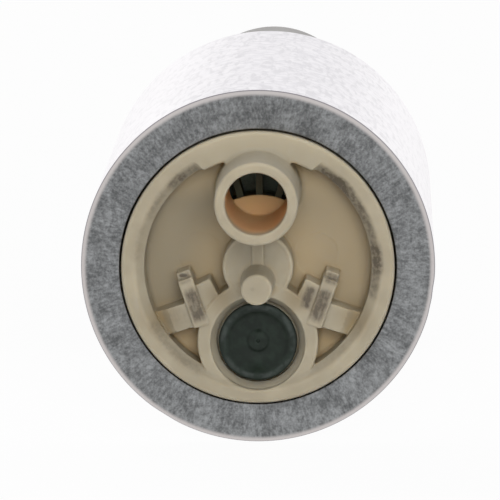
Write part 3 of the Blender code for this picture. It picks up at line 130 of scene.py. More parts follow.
class PumpColours(bpy.types.PropertyGroup):
    # Painted reflection: the rim is the same metal as the side, made dark where it mirrors dark
    # surroundings; its mottle and grain are its own.
    rim: colour("Rim zinc", "Mottled zinc of the rolled rim", (0.228, 0.234, 0.2375))
    # Painted reflection: this light band stands for light mirrored by the rolled corner.
    edge: colour("Rim edge", "Worn band on the can's front corner", (0.58, 0.545, 0.535))
    edge_line: colour("Rim edge line", "Dark line outside the worn band", (0.2, 0.185, 0.21))
    # Partly painted reflection: the side is lifted near white where it mirrors bright surroundings.
    side: colour("Side steel", "Bright steel of the can's side", (0.86, 0.835, 0.88))
    cream: colour("Cream", "Clean cream moulding", (0.34, 0.3, 0.222))
    # Grime and painted shade: deep corners, by the crevice value, turn this warm brown.
    grime_and_shade: colour("Grime", "Warm brown in the moulding's deep corners", (0.37, 0.265, 0.13))
    # This colour also carries the painted shade on the left clip's web.
    stain_and_shade: colour("Stain", "Dirt on the moulding", (0.1, 0.082, 0.06))
    bore: colour("Bore", "Amber inside the inlet tube", (0.7, 0.46, 0.23))
    black: colour("Valve black", "Glossy black valve", (0.0065, 0.0105, 0.0075))
    outlet: colour("Outlet grey", "Grey outlet moulding", (0.34, 0.325, 0.317))


# Distances to solids, in millimetres, negative inside


def soft_union(a, b, blend):
    """The lower of two distances, rounded by blend where they are close: a smooth minimum."""
    share = np.clip(0.5 + 0.5 * (b - a) / blend, 0, 1)
    return b + (a - b) * share - blend * share * (1 - share)


def soft_cut(a, b, blend):
    """What is left of a outside b, with the new edge rounded by blend."""
    return -soft_union(-a, b, blend)


def drum(across, station, radius, front, back, edge):
    """A round drum: across is the distance from its axis, and radius may vary along it."""
    out = across - radius + edge
    end = np.abs(station - (front + back) / 2) - (back - front) / 2 + edge
    outside = np.hypot(np.maximum(out, 0), np.maximum(end, 0))
    return outside + np.minimum(np.maximum(out, end), 0) - edge


def block(u, v, station, half_u, half_v, front, back, edge):
    """A box with rounded edges: the length of the part of (u, v, station) that lies outside it."""
    gaps = [
        np.abs(u) - half_u + edge,
        np.abs(v) - half_v + edge,
        np.abs(station - (front + back) / 2) - (back - front) / 2 + edge,
    ]
    outside = np.sqrt(sum(np.maximum(gap, 0) ** 2 for gap in gaps))
    return outside + np.minimum(np.maximum(np.maximum(gaps[0], gaps[1]), gaps[2]), 0) - edge


def wedge(x, z, half_angle):
    """A wedge about the upward direction: the distance past its side planes."""
    return np.abs(x) * math.cos(half_angle) - z * math.sin(half_angle)


def ramp(value, low, high):
    """0 below low, 1 above high, smooth between: 3t^2 - 2t^3."""
    t = np.clip((value - low) / (high - low), 0, 1)
    return t * t * (3 - 2 * t)


CLIP_LEAN = math.radians(19.3)
CLIP_TOP = (7.83, -1.3)
BLOCK_TURN = math.radians(8.0)
CHANNEL = (6.8, 12.5)


def clip_axes(side, z):
    """Distances (inward, down) from the top of a clip's bar, for arrays or shader values. Both clips
    share them, because side is the size of x."""
    across, up = side - CLIP_TOP[0], z - CLIP_TOP[1]
    inward = across * -math.cos(CLIP_LEAN) + up * math.sin(CLIP_LEAN)
    down = across * -math.sin(CLIP_LEAN) - up * math.cos(CLIP_LEAN)
    return inward, down


def clips_distance(x, s, z, edge, foot):
    """Both clips: a bar, a lower step above it, a block beside it and a falling web to the ring."""
    inward, down = clip_axes(np.abs(x), z)
    bar = block(inward, down - 2.7, s, 0.83, 2.7, -0.5, foot, edge)
    step = block(inward, down, s, 0.75, 0.7, 0.75, foot, edge * 0.7)
    u, v = inward - 1.68, down - 2.6
    across = math.cos(BLOCK_TURN) * u - math.sin(BLOCK_TURN) * v
    along = math.sin(BLOCK_TURN) * u + math.cos(BLOCK_TURN) * v
    side = block(across, along, s, 1.1, 1.65, -0.1, foot, edge)
    top = 0.22 * np.clip(-inward, 0, 2.9) + 0.72 * np.maximum(-inward - 2.9, 0)
    web = block(inward + 2.8, down - 3.9, s, 3.0, 1.375, -1.0, foot, 0.05)
    web = np.maximum(web, (top - s) * 0.9)
    clip = soft_union(soft_union(bar, step, 0.12), side, 0.15)
    return soft_union(clip, web, 0.15)


def cover_distance(x, s, z, sizes):
    """The inlet cover: ring and recess, with tube, lobe, pin, rib, boss and clips on its floor,
    less the bore, the port, the valve's well and the pockets behind."""
    edge, fillet = sizes.moulded_edge / MM, sizes.moulded_fillet / MM
    foot = RECESS_FLOOR + 0.6
    across = np.hypot(x, z)
    tube = np.hypot(x, z - TUBE_LIFT)
    boss, valve = np.hypot(x, z + BOSS_DROP), np.hypot(x, z + VALVE_DROP)
    body = drum(across, s, RING_RADIUS, -0.8, COVER_BACK, 0.42)
    sector = 1 - ramp(wedge(x, z, math.radians(30)), -0.35, 0.35)
    recess = (RECESS_RADIUS + np.clip(0.2 - s, 0, 2.0)) * (1 - sector) + 11.9 * sector
    body = soft_cut(body, drum(across, s, recess, -6.0, RECESS_FLOOR, sizes.floor_fillet / MM), 0.3)
    marks = 1 - ramp(np.hypot(np.abs(x) - 6.25, z - 0.8), 2.2, 2.5)
    body = body + 0.04 * marks * ramp(s, 3.6, 4.2) * (1 - ramp(s, 5.0, 5.4))
    taper = 4.41 + 0.24 * np.clip((s - TUBE_FRONT) / 16, 0, 1)
    body = soft_union(body, drum(tube, s, taper, TUBE_FRONT, foot, 0.4), fillet * 2)
    lobe = drum(across, s, LOBE_RADIUS, -0.2, foot, 0.2)
    lobe = soft_union(lobe, np.hypot(across - 3.5, s + 0.07) - 0.16, 0.1)
    rib = block(x, z - 1.2, s, 0.65, 2.7, -0.55, foot, 0.15)
    body = soft_union(body, soft_union(lobe, rib, 0.12), fillet)
    body = soft_union(body, drum(boss, s, BOSS_RADIUS, -0.3, foot, edge), fillet)
    body = soft_union(body, clips_distance(x, s, z, edge * 0.8, foot), 0.2)
    well = 5.05 - 0.61 * np.clip((s - 0.4) / 1.1, 0, 1)
    body = soft_cut(body, drum(valve, s, well, -9.0, 2.5, 0.1), 0.25)
    thick = 1.65 + 0.15 * np.clip((PIN_FRONT - s) / PIN_FRONT, 0, 1)
    body = soft_union(body, drum(np.hypot(x, z + PIN_DROP), s, thick, PIN_FRONT, 0.9, 0.3), 0.2)
    gate = np.sqrt((x + 0.42) ** 2 + (z + 1.4) ** 2 + (s + 8.24) ** 2) - 0.4
    body = soft_cut(body, gate, 0.06)
    body = soft_cut(body, drum(tube, s, TUBE_BORE, -13.0, 6.6, 0.15), 0.3)
    port = np.maximum(np.maximum(7.0 - across, tube - 3.25), wedge(x, z, math.radians(26)))
    body = soft_cut(body, np.maximum(port, np.abs(s - 7.6) - 1.2), 0.1)
    channel = np.maximum(np.maximum(CHANNEL[0] - across, across - CHANNEL[1]), 7.0 - s)
    body = soft_cut(body, channel, 0.05)
    behind = np.minimum(drum(valve, s, 1.0, 0.0, 9.0, 0.02), drum(valve, s, 2.62, 4.0, 9.0, 0.05))
    behind = np.minimum(behind, drum(across, s, 2.12, 6.1, 9.0, 0.05))
    return soft_cut(body, behind, 0.05)


def outlet_distance(x, s, z):
    """The outlet cover's rear: dome, turret with its barbed spigot, and the connector's shroud."""
    foot, dome, turret, spigot = 73.0, CAN_LENGTH + 5.0, TURRET_BACK, SPIGOT_BACK
    centre = np.hypot(x, z - TURRET_LIFT)
    body = drum(np.hypot(x, z), s, REAR_LIP_RADIUS - CLEARANCE, 70.8, dome, 1.2)
    body = soft_union(body, drum(centre, s, 10.4, foot, turret, 1.5), 0.5)
    body = soft_union(body, drum(centre, s, 4.0, turret - 4, spigot, 0.3), 0.5)
    for top in (spigot - 2.2, spigot - 7.2):
        cone = 4.0 + 0.5 * np.clip((top - s) / 1.6, 0, 1) - 4.0 * (s > top)
        body = soft_union(body, drum(centre, s, cone, top - 1.6, top, 0.08), 0.08)
    shroud = block(x, z + SHROUD_DROP, s, 7.0, 3.6, foot, dome + 9.0, 0.7)
    body = soft_union(body, shroud, 0.4)
    socket = block(x, z + SHROUD_DROP, s, 6.0, 2.6, dome, dome + 12.0, 0.3)
    body = soft_cut(body, socket, 0.2)
    body = soft_cut(body, drum(centre, s, 2.6, turret - 4, spigot + 3, 0.1), 0.25)
    body = soft_cut(body, drum(centre, s, 4.6, turret - 10, turret - 2.5, 0.2), 0.1)
    body = soft_cut(body, drum(centre, s, 8.8, 69.0, turret - 9, 0.3), 0.1)
    body = soft_cut(body, drum(np.hypot(x, z), s, 15.0, 69.0, 74.5, 0.3), 0.1)
    blades = block(np.abs(x) - BLADE_OFFSET, z + SHROUD_DROP, s, 0.6, 1.6, 70.0, dome + 3.0, 0.05)
    return soft_cut(body, blades, 0.05)


# Meshes worked out as whole arrays


def stations(*spans):
    """Rising station values from spans of (start, end, step), each start included once."""
    steps = [np.arange(start, end - step / 4, step) for start, end, step in spans]
    return np.unique(np.concatenate([*steps, [spans[-1][1]]]))


EDGES = [(a, b) for a in range(8) for b in range(a + 1, 8) if bin(a ^ b).count("1") == 1]
CORNERS = np.array([[n >> 2 & 1, n >> 1 & 1, n & 1] for n in range(8)])


def net_surface(field, grid):
    """A surface net: one point in each cell that the zero level crosses, at the mean of its edge
    crossings, one quad round each grid edge that crosses, then each point moved onto the level."""
    x, s, z = grid[0][:, None, None], grid[1][None, :, None], grid[2][None, None, :]
    values = field(x, s, z).astype(np.float32)
    inside = values < 0
    count = np.zeros([n - 1 for n in inside.shape], np.int8)
    for dx, dy, dz in CORNERS:
        count += inside[dx : dx + count.shape[0], dy : dy + count.shape[1], dz : dz + count.shape[2]]
    cells = np.argwhere((count > 0) & (count < 8))
    number = np.full(count.shape, -1, np.int64)
    number[tuple(cells.T)] = np.arange(len(cells))
    spots = cells[:, None, :] + CORNERS[None]
    level = values[spots[..., 0], spots[..., 1], spots[..., 2]].astype(float)
    place = np.stack([grid[axis][spots[..., axis]] for axis in range(3)], -1)
    total, hits = np.zeros((len(cells), 3)), np.zeros(len(cells))
    for a, b in EDGES:
        crossed = (level[:, a] < 0) != (level[:, b] < 0)
        share = level[:, a] / np.where(crossed, level[:, a] - level[:, b], 1)
        crossing = place[:, a] + (place[:, b] - place[:, a]) * share[:, None]
        total += np.where(crossed[:, None], crossing, 0)
        hits += crossed
    points = total / hits[:, None]
    quads = []
    for axis in range(3):
        u, v = (axis + 1) % 3, (axis + 2) % 3
        ahead = np.roll(inside, -1, axis)
        change = inside != ahead
        at = np.argwhere(change)
        at = at[(at[:, axis] < inside.shape[axis] - 1) & (at[:, u] > 0) & (at[:, v] > 0)]
        at = at[(at[:, u] < inside.shape[u] - 1) & (at[:, v] < inside.shape[v] - 1)]
        ring = []
        for du, dv in ((1, 1), (0, 1), (0, 0), (1, 0)):
            cell = at.copy()
            cell[:, u] -= du
            cell[:, v] -= dv
            ring.append(number[tuple(cell.T)])
        ring = np.stack(ring, -1)
        leaving = inside[tuple(at.T)]
        quads.append(np.where(leaving[:, None], ring, ring[:, ::-1]))
    quads = np.concatenate(quads)
    for _ in range(3):
        slope, distance = gradient(field, points)
        reach = np.clip(distance / np.maximum((slope**2).sum(1), 0.2), -0.08, 0.08)
        points = points - slope * reach[:, None]
    return points, quads


def gradient(field, points, step=0.02):
    """The field's slope at points, by central differences, and its value there."""
    def at(shift):
        x, s, z = (points + shift).T
        return field(x, s, z)

    slope = np.stack([(at(axis) - at(-axis)) / (2 * step) for axis in np.eye(3) * step], -1)
    return slope, at(np.zeros(3))


GRID_SHIFT_ACROSS, GRID_SHIFT_ALONG = 0.013, 0.007  # these keep grid lines off flat faces


def net_shell(field, reach, cell, *spans):
    """A field's surface net on a grid that reaches so far to each side, with its normals."""
    across = np.arange(-reach, reach + 0.05, cell) + GRID_SHIFT_ACROSS
    along = stations(*spans) + GRID_SHIFT_ALONG
    points, faces = net_surface(field, (across, along, across))
    slope, _ = gradient(field, points, 0.03)
    return points, faces, unit(slope)


def crevice(field, points, normals):
    """How deep in a corner each point lies: the share of a short reach outwards that is blocked."""
    blocked = np.zeros(len(points))
    for reach, weight in ((0.4, 0.3), (0.9, 0.3), (1.8, 0.25), (3.2, 0.15)):
        x, s, z = (points + normals * reach).T
        blocked += weight * np.clip(1 - field(x, s, z) / reach, 0, 1)
    return blocked


def unit(vectors):
    """Each vector made one long."""
    return vectors / np.maximum(np.linalg.norm(vectors, axis=1), 1e-9)[:, None]


def rounded(points, steps=6):
    """A (radius, station) outline whose third values are fillet radii: each corner becomes an arc
    tangent to both its sides."""
    outline = []
    for i, point in enumerate(points):
        corner = np.array(point[:2], float)
        if len(point) == 2:
            outline.append(corner[None])
            continue
        before = np.array(points[i - 1][:2], float) - corner
        after = np.array(points[(i + 1) % len(points)][:2], float) - corner
        before, after = before / np.linalg.norm(before), after / np.linalg.norm(after)
        half = math.acos(np.clip(before @ after, -1, 1)) / 2
        middle = (before + after) / np.linalg.norm(before + after)
        centre = corner + middle * point[2] / math.sin(half)
        start = corner + before * point[2] / math.tan(half) - centre
        end = corner + after * point[2] / math.tan(half) - centre
        turn = math.pi - 2 * half
        share = np.linspace(0, 1, steps + 1)[:, None]
        arc = (np.sin((1 - share) * turn) * start + np.sin(share * turn) * end) / math.sin(turn)
        outline.append(centre + arc)
    return np.concatenate(outline)


def split_long(outline, most):
    """The same outline with points added so that no step is longer than most."""
    nexts = np.roll(outline, -1, 0)
    parts = np.maximum(np.ceil(np.linalg.norm(nexts - outline, axis=1) / most).astype(int), 1)
    start = np.repeat(outline, parts, 0)
    count = np.arange(parts.sum()) - np.repeat(np.cumsum(parts) - parts, parts)
    share = (count / np.repeat(parts, parts))[:, None]
    return start + (np.repeat(nexts, parts, 0) - start) * share


def turned_loop(outline, segments, centre=(0.0, 0.0)):
    """A closed outline carried round an axis: (x, z) = centre + radius * (sin a, cos a)."""
    angle = 2 * math.pi * np.arange(segments) / segments
    radius, station = outline[:, :1], outline[:, 1:]
    x = centre[0] + radius * np.sin(angle)
    z = centre[1] + radius * np.cos(angle)
    points = np.stack([x, station + 0 * angle, z], -1).reshape(-1, 3)
    index = np.arange(len(points)).reshape(len(outline), segments)
    down, right = np.roll(index, -1, 0), np.roll(index, -1, 1)
    both = np.roll(down, -1, 1)
    return points, np.stack([index, right, both, down], -1).reshape(-1, 4)


def turned_cap(outline, segments, centre=(0.0, 0.0)):
    """An outline from pole to pole carried round an axis, with a fan of triangles at each pole."""
    points, quads = turned_loop(outline[1:-1], segments, centre)
    quads = quads[: (len(outline) - 3) * segments]
    poles = np.array([[centre[0], outline[0, 1], centre[1]], [centre[0], outline[-1, 1], centre[1]]])
    first = np.arange(segments)
    last = first + (len(outline) - 3) * segments
    front = np.stack([np.full(segments, len(points)), np.roll(first, -1), first, first], -1)
    after = np.roll(last, -1)
    back = np.stack([np.full(segments, len(points) + 1), last, after, after], -1)
    return np.concatenate([points, poles]), np.concatenate([quads, front, back])


def outward(points, faces):
    """The faces turned round if their signed volume, the sum of corner determinants, is negative."""
    a, b, c, d = (points[faces[:, i]] for i in range(4))
    volume = np.einsum("ij,ij->", a, np.cross(b, c)) + np.einsum("ij,ij->", a, np.cross(c, d))
    return faces if volume > 0 else faces[:, ::-1]


def make_piece(name, shells, normals=None, marks=None):
    """One mesh object from (points, faces) shells in millimetres and stations. A face whose last
    two corners are the same is a triangle. marks are named values for the points."""
    points = np.concatenate([p for p, _ in shells])
    starts = np.cumsum([0] + [len(p) for p, _ in shells])
    faces = np.concatenate([outward(p, f) + start for (p, f), start in zip(shells, starts)])
    keep = faces != np.roll(faces, 1, axis=1)
    loops, sizes = faces[keep], keep.sum(1)
    mesh = bpy.data.meshes.new(name)
    mesh.vertices.add(len(points))
    mesh.vertices.foreach_set("co", ((points + [0, CAN_FRONT, 0]) * MM).astype(np.float32).ravel())
    mesh.loops.add(len(loops))
    mesh.loops.foreach_set("vertex_index", loops.astype(np.int32))
    mesh.polygons.add(len(sizes))
    mesh.polygons.foreach_set("loop_start", (np.cumsum(sizes) - sizes).astype(np.int32))
    mesh.update(calc_edges=True)
    mesh.validate()
    for key, values in (marks or {}).items():
        attribute = mesh.attributes.new(key, "FLOAT", "POINT")
        attribute.data.foreach_set("value", values.astype(np.float32))
    mesh.shade_smooth()
    if normals is None:
        mesh.set_sharp_from_angle(angle=math.radians(28))
    else:
        mesh.normals_split_custom_set_from_vertices(normals.tolist())
    made = bpy.data.objects.new(name, mesh)
    bpy.context.scene.collection.objects.link(made)
    return made


def settle(piece, body, node, material):
    """Gives the piece its finish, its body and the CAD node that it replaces."""
    piece.data.materials.clear()
    piece.data.materials.append(material)
    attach(piece, body)
    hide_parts(node)
    return piece


# Springs and leads

WIRE_SIDES = 12
COIL_STEPS = 32
ROUTE_STEPS = 12
SPRINGS = (
    # node, joint, centre (x, z), radius of the coil, wire diameter, turns
    ("relief_valve_spring", "relief_valve_lift", (0.0, -VALVE_DROP), 1.75, 0.35, 3),
    ("check_valve_spring", "check_valve_lift", (0.0, TURRET_LIFT), 3.1, 0.5, 3),
    ("brush_spring_left", "brush_left_slide", (-6.4, 0.0), 1.35, 0.4, 5),
    ("brush_spring_right", "brush_right_slide", (6.4, 0.0), 1.35, 0.4, 5),
)
LEAD_RADIUS = 0.35
# The right-hand lead, from its choke to the underside of its brush: x, place along Y, z
LEAD_KNOTS = np.array([
    (9.2, 24.9, -8.2), (8.73, 23.3, -7.5), (7.8, 23.3, -5.2), (6.75, 24.0, -3.9), (6.4, 25.1, -2.2),
])


def swept_wire(path, aside, radius):
    """A round wire along a path: p = path + radius * (u cos b + v sin b), where u is the direction
    aside made square to the path and v is square to both. A fan of triangles closes each end."""
    forward = unit(np.gradient(path, axis=0))
    u = unit(aside - np.einsum("ij,ij->i", aside, forward)[:, None] * forward)
    v = np.cross(forward, u)
    turn = 2 * math.pi * np.arange(WIRE_SIDES)[:, None] / WIRE_SIDES
    points = path[:, None] + radius * (u[:, None] * np.cos(turn) + v[:, None] * np.sin(turn))
    points = points.reshape(-1, 3)
    index = np.arange(len(points)).reshape(len(path), WIRE_SIDES)
    following = np.roll(index, -1, 1)
    quads = np.stack([index[:-1], following[:-1], following[1:], index[1:]], -1).reshape(-1, 4)
    pole = np.full(WIRE_SIDES, len(points))
    front = np.stack([pole, following[0], index[0], index[0]], -1)
    back = np.stack([pole + 1, index[-1], following[-1], following[-1]], -1)
    return np.concatenate([points, path[[0, -1]]]), np.concatenate([quads, front, back])


def coil(node, centre, radius, wire, turns):
    """A spring as long as its node: (x, z) = centre + radius * (sin a, cos a), and the station
    rises evenly with a."""
    low, high = (corner.y / MM - CAN_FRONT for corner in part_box(node))
    angle = np.linspace(0, 2 * math.pi * turns, turns * COIL_STEPS + 1)
    aside = np.stack([np.sin(angle), 0 * angle, np.cos(angle)], -1)
    path = radius * aside + [centre[0], 0, centre[1]]
    path[:, 1] = np.linspace(low + wire / 2, high - wire / 2, len(angle))
    return swept_wire(path, aside, wire / 2)


def smooth_path(knots, steps):
    """A curve through the knots a, b, c, d in turn: b + (c - a) t / 2 + (2a - 5b + 4c - d) t^2 / 2
    + (3b - a - 3c + d) t^3 / 2, for t from 0 to 1 between b and c."""
    ends = np.concatenate([knots[:1], knots, knots[-1:]])
    a, b, c, d = (ends[i : i + len(knots) - 1, None] for i in range(4))
    t = np.arange(steps)[:, None] / steps
    curve = b + (c - a) * t / 2 + (2 * a - 5 * b + 4 * c - d) * t**2 / 2
    curve = curve + (3 * b - a - 3 * c + d) * t**3 / 2
    return np.concatenate([curve.reshape(-1, 3), knots[-1:]])


# Shader trees written as expressions


def add_node(tree, kind, settings=None, inputs=None):
    """A new node with its settings, and with its inputs set or linked."""
    made = tree.nodes.new(kind)
    for key, value in (settings or {}).items():
        setattr(made, key, value)
    for key, value in (inputs or {}).items():
        value = value.socket if isinstance(value, Value) else value
        if isinstance(value, bpy.types.NodeSocket):
            tree.links.new(value, made.inputs[key])
        else:
            made.inputs[key].default_value = value
    return made


def arithmetic(operation, swapped=False):
    """A method of Value that adds one Math node, with its two inputs swapped or not."""

    def method(self, other):
        return self.step(operation, *((other, self) if swapped else (self, other)))

    return method


class Value:
    """A shader socket that holds a number. Arithmetic on it adds Math nodes."""

    __add__ = __radd__ = arithmetic("ADD")
    __sub__, __rsub__ = arithmetic("SUBTRACT"), arithmetic("SUBTRACT", swapped=True)
    __mul__ = __rmul__ = arithmetic("MULTIPLY")
    __truediv__, __pow__ = arithmetic("DIVIDE"), arithmetic("POWER")
    lower = arithmetic("MINIMUM")

    def __init__(self, finish, socket):
        self.finish, self.socket = finish, socket

    def step(self, operation, first, *others):
        inputs = dict(enumerate((first, *others)))
        return self.finish.node("ShaderNodeMath", {"operation": operation}, inputs)

    def absolute(self):
        return self.step("ABSOLUTE", self)

    def rise(self, low, high):
        """0 below low and 1 above high, smooth between. With low above high it falls."""
        inputs = {"Value": self, 1: min(low, high), 2: max(low, high)}
        settings = {"interpolation_type": "SMOOTHSTEP"}
        rising = self.finish.node("ShaderNodeMapRange", settings, inputs)
        return rising if low < high else 1 - rising

    def band(self, low, high, edge):
        """1 between low and high and 0 outside, each side smooth over twice the edge."""
        return self.rise(low - edge, low + edge) * self.rise(high + edge, high - edge)


class Finish:
    """A material's tree. x, z and station are millimetres on the object, out is the distance from
    the pump's axis, and turn is the angle round it."""

    def __init__(self, name):
        self.material = bpy.data.materials.new(name)
        self.material.use_nodes = True
        self.tree = self.material.node_tree
        self.shader = self.tree.nodes["Principled BSDF"]
        place = self.raw("ShaderNodeTexCoord").outputs["Object"]
        axes = self.raw("ShaderNodeSeparateXYZ", {}, {0: place}).outputs
        self.x, self.station, self.z = (Value(self, axis) * (1 / MM) for axis in axes)
        self.station = self.station - CAN_FRONT
        self.out = self.distance(0.0, 0.0)
        self.turn = self.x.step("ARCTAN2", self.x, self.z)

    def raw(self, kind, settings=None, inputs=None):
        return add_node(self.tree, kind, settings, inputs)

    def node(self, kind, settings=None, inputs=None, output=0):
        return Value(self, self.raw(kind, settings, inputs).outputs[output])

    def distance(self, x, z):
        """Distance in (x, z) from a point."""
        return ((self.x - x) ** 2.0 + (self.z - z) ** 2.0) ** 0.5

    def spot(self, x, z, radius):
        """1 at a point, falling to 0 at radius."""
        return self.distance(x, z).rise(radius, 0.0)

    def noise(self, scales, detail=3.0, shift=0.0):
        """Noise on (x, station, z), by one scale per millimetre or by one for each axis."""
        axes = (self.x, self.station, self.z)
        scales = scales if isinstance(scales, tuple) else (scales,) * 3
        return self.noise_on([axis * scale + shift for axis, scale in zip(axes, scales)], detail)

    def round_noise(self, around, outward, along, detail=3.0, shift=0.0):
        """Noise without a seam: around is its scale per radian, the others per millimetre."""
        sunwise = [axis / self.out * around + shift for axis in (self.x, self.z)]
        return self.noise_on([*sunwise, self.out * outward + self.station * along], detail)

    def noise_on(self, places, detail):
        vector = self.node("ShaderNodeCombineXYZ", {}, dict(enumerate(places)))
        inputs = {"Vector": vector, "Scale": 1.0, "Detail": detail}
        return self.node("ShaderNodeTexNoise", {}, inputs)

    def mix(self, share, first, second):
        """A colour between two: share 0 gives the first."""
        first, second = ((*c, 1.0) if isinstance(c, tuple) else c for c in (first, second))
        settings = {"data_type": "RGBA", "clamp_factor": True}
        return self.node("ShaderNodeMix", settings, {0: share, 6: first, 7: second}, 2)

    def mark(self, name):
        return self.node("ShaderNodeAttribute", {"attribute_name": name}, {}, "Fac")

    def bump(self, height, strength, distance=0.1):
        """Bump from a height, with distance in millimetres."""
        inputs = {"Height": height, "Strength": strength, "Distance": distance * MM}
        return self.node("ShaderNodeBump", {}, inputs)

    def close(self, **sockets):
        """Sets the shader's sockets, named with underscores for spaces, and gives the material."""
        for key, value in sockets.items():
            socket = self.shader.inputs[key.replace("_", " ")]
            if isinstance(value, Value):
                self.tree.links.new(value.socket, socket)
            else:
                socket.default_value = (*value, 1.0) if isinstance(value, tuple) else value
        return self.material


def shade(colour_value, factor):
    """A colour made lighter or darker, none of its channels above 1."""
    return tuple(min(channel * factor, 1.0) for channel in colour_value)


def can_metal(colours):
    """Zinc with fine radial grain and mottle on the rolled rim, painted dark as a reflection and a
    little lighter to the right as painted light, a light band on its corner that is a painted
    reflection, a dark line outside that, and bright steel on the side, painted as a reflection near
    white at the flanks and darker in the middle, with faint rings and marks."""
    finish = Finish("can_metal")
    rim, side = tuple(colours.rim), tuple(colours.side)
    speckle = finish.noise((4.6, 1.0, 4.6), 3.0) * 0.5
    speckle = speckle + finish.noise((2.1, 1.0, 2.1), 3.0, 6.0) * 0.5
    grain = finish.round_noise(58.0, 1.3, 0.0, 3.0, 7.0)
    cloud = finish.noise((0.45, 0.3, 0.45), 2.0, 3.0)
    # Painted light: the rim's tone falls slightly upward and rises to the right.
    painted_light_slope = finish.z * -0.0003 + finish.x * 0.0004
    tone = speckle * 0.55 + grain * 0.3 + cloud * 0.3 + painted_light_slope - 0.065
    # Painted reflection: the rim's dark base tone stands for dark surroundings mirrored in it; the
    # mottle is its own.
    mottled = finish.mix(tone.rise(0.35, 0.71), shade(rim, 0.5), shade(rim, 1.6))
    rings = finish.round_noise(2.4, 0.0, 6.0, 4.0, 2.0)
    marks = finish.noise((0.9, 0.7, 0.9), 6.0, 5.0)
    short = finish.noise((1.5, 0.25, 1.5), 5.0, 12.0)
    # Painted reflection: the side is darker in a middle stretch about x = 3 and near white at its
    # flanks. The rings and marks are its own, set stronger in the middle.
    middle = (finish.x - 3.0).absolute().rise(15.0, 2.0)
    worn = rings.rise(0.48, 0.66) * marks.rise(0.4, 0.62) * 0.75 + short.rise(0.48, 0.64) * 0.5
    bright = finish.mix(worn * (0.25 + middle * 0.75), shade(side, 1.17), shade(side, 0.5))
    side_reflection_and_marks = finish.mix(middle * (0.4 + marks.rise(0.3, 0.75) * 0.5), bright, shade(side, 0.84))
    corner = finish.out.rise(CAN_RADIUS - 0.72, CAN_RADIUS - 0.26)
    line = finish.station.rise(0.24, 0.36) * corner
    beyond = finish.station.rise(0.52, 0.66)
    # Painted reflection: the light band round the rolled corner, then the dark line outside it.
    colour_all = finish.mix(corner, mottled, tuple(colours.edge))
    colour_all = finish.mix(line * 0.85, colour_all, tuple(colours.edge_line))
    colour_all = finish.mix(beyond, colour_all, side_reflection_and_marks)
    rough = 0.42 + tone * 0.12 - beyond * 0.14
    return finish.close(
        Base_Color=colour_all, Metallic=1.0, Roughness=rough,
        Normal=finish.bump(tone, 0.3, 0.02),
    )


SCATTER = Vector((1.0, 0.85, 0.65))


def cream_plastic(colours):
    """Cream moulding, warmer in its corners, amber in the bore, with the dirt that the photo shows."""
    finish = Finish("cream_plastic")
    cream, grime_and_shade, stain_and_shade = tuple(colours.cream), tuple(colours.grime_and_shade), tuple(colours.stain_and_shade)
    crevices = finish.mark("crevice")
    cloud = finish.noise((0.35, 0.3, 0.35), 3.0)
    base = finish.mix(cloud.rise(0.35, 0.7), shade(cream, 0.94), shade(cream, 1.05))
    patches = finish.noise(0.5, 3.0, 9.0).rise(0.35, 0.65)
    # The ring's top, from z = 10 up and in front of station 1, is made 1.14 times lighter.
    top_lighter = finish.z.rise(10.0, 14.0) * finish.station.rise(1.0, 0.0)
    base = finish.mix(top_lighter, base, shade(cream, 1.14))
    floor = finish.station.rise(3.4, 4.4)
    # Partly dirt, partly painted shade: the recess floor between the lower pockets and the tube, away
    # from the centre, is darker, most on the left where less light falls.
    floor_dirt_and_shade = finish.z.rise(-5.6, -4.2) * finish.out.rise(4.5, 9.0) * finish.x.rise(22.0, -8.0)
    # Partly staining, partly painted shadow: the moulding round both clips is made darker and browner.
    clips = 0.0
    for x, z, radius in ((-4.2, -3.2, 2.6), (4.2, -3.2, 2.6), (-10.4, -5.6, 3.0), (10.4, -5.6, 3.0)):
        clips = finish.spot(x, z, radius) + clips
    tints = (
        (floor, (1.15, 1.04, 0.88)),
        (floor * (floor_dirt_and_shade * finish.z.rise(10.0, 6.0)), (0.8, 0.77, 0.72)),
        # Painted light, partly warmer grime: the lower pockets are made lighter and warmer, lifting
        # their shade.
        (floor * finish.z.rise(-4.2, -6.2), (1.2, 1.04, 0.83)),
        (clips.lower(1.0) * 0.8, (0.7, 0.64, 0.54)),
    )
    for mask, tint in tints:
        base = finish.mix(mask, base, tuple(a * b for a, b in zip(cream, tint)))
    # Grime and painted shade: deep corners, by the crevice value, turn warm brown in patches.
    colour_all = finish.mix(crevices.rise(0.3, 0.95) * (0.3 + patches * 0.25), base, grime_and_shade)
    in_bore = finish.distance(0.0, TUBE_LIFT).rise(3.5, 3.35)
    in_bore = in_bore * finish.station.rise(TUBE_FRONT - 0.1, -7.0) * finish.station.rise(8.5, 7.5)
    colour_all = finish.mix(in_bore, colour_all, tuple(colours.bore))
    grain = finish.noise((2.2, 1.0, 2.2), 5.0, 4.0)
    ragged = grain.rise(0.32, 0.68)
    # Dirt, with the painted shade on the left clip's web.
    dirt = chamfer_dirt(finish) * (0.4 + ragged * 0.6) + clip_dirt_and_shade(finish) * (0.6 + ragged * 0.4)
    colour_all = finish.mix(dirt.lower(0.93), colour_all, stain_and_shade)
    rough = 0.45 + grain * 0.12
    return finish.close(
        Base_Color=colour_all, Roughness=rough, Specular_IOR_Level=0.35,
        Subsurface_Weight=0.8, Subsurface_Scale=2.0 * MM, Subsurface_Radius=SCATTER,
        Normal=finish.bump(grain, 0.1, 0.02),
    )


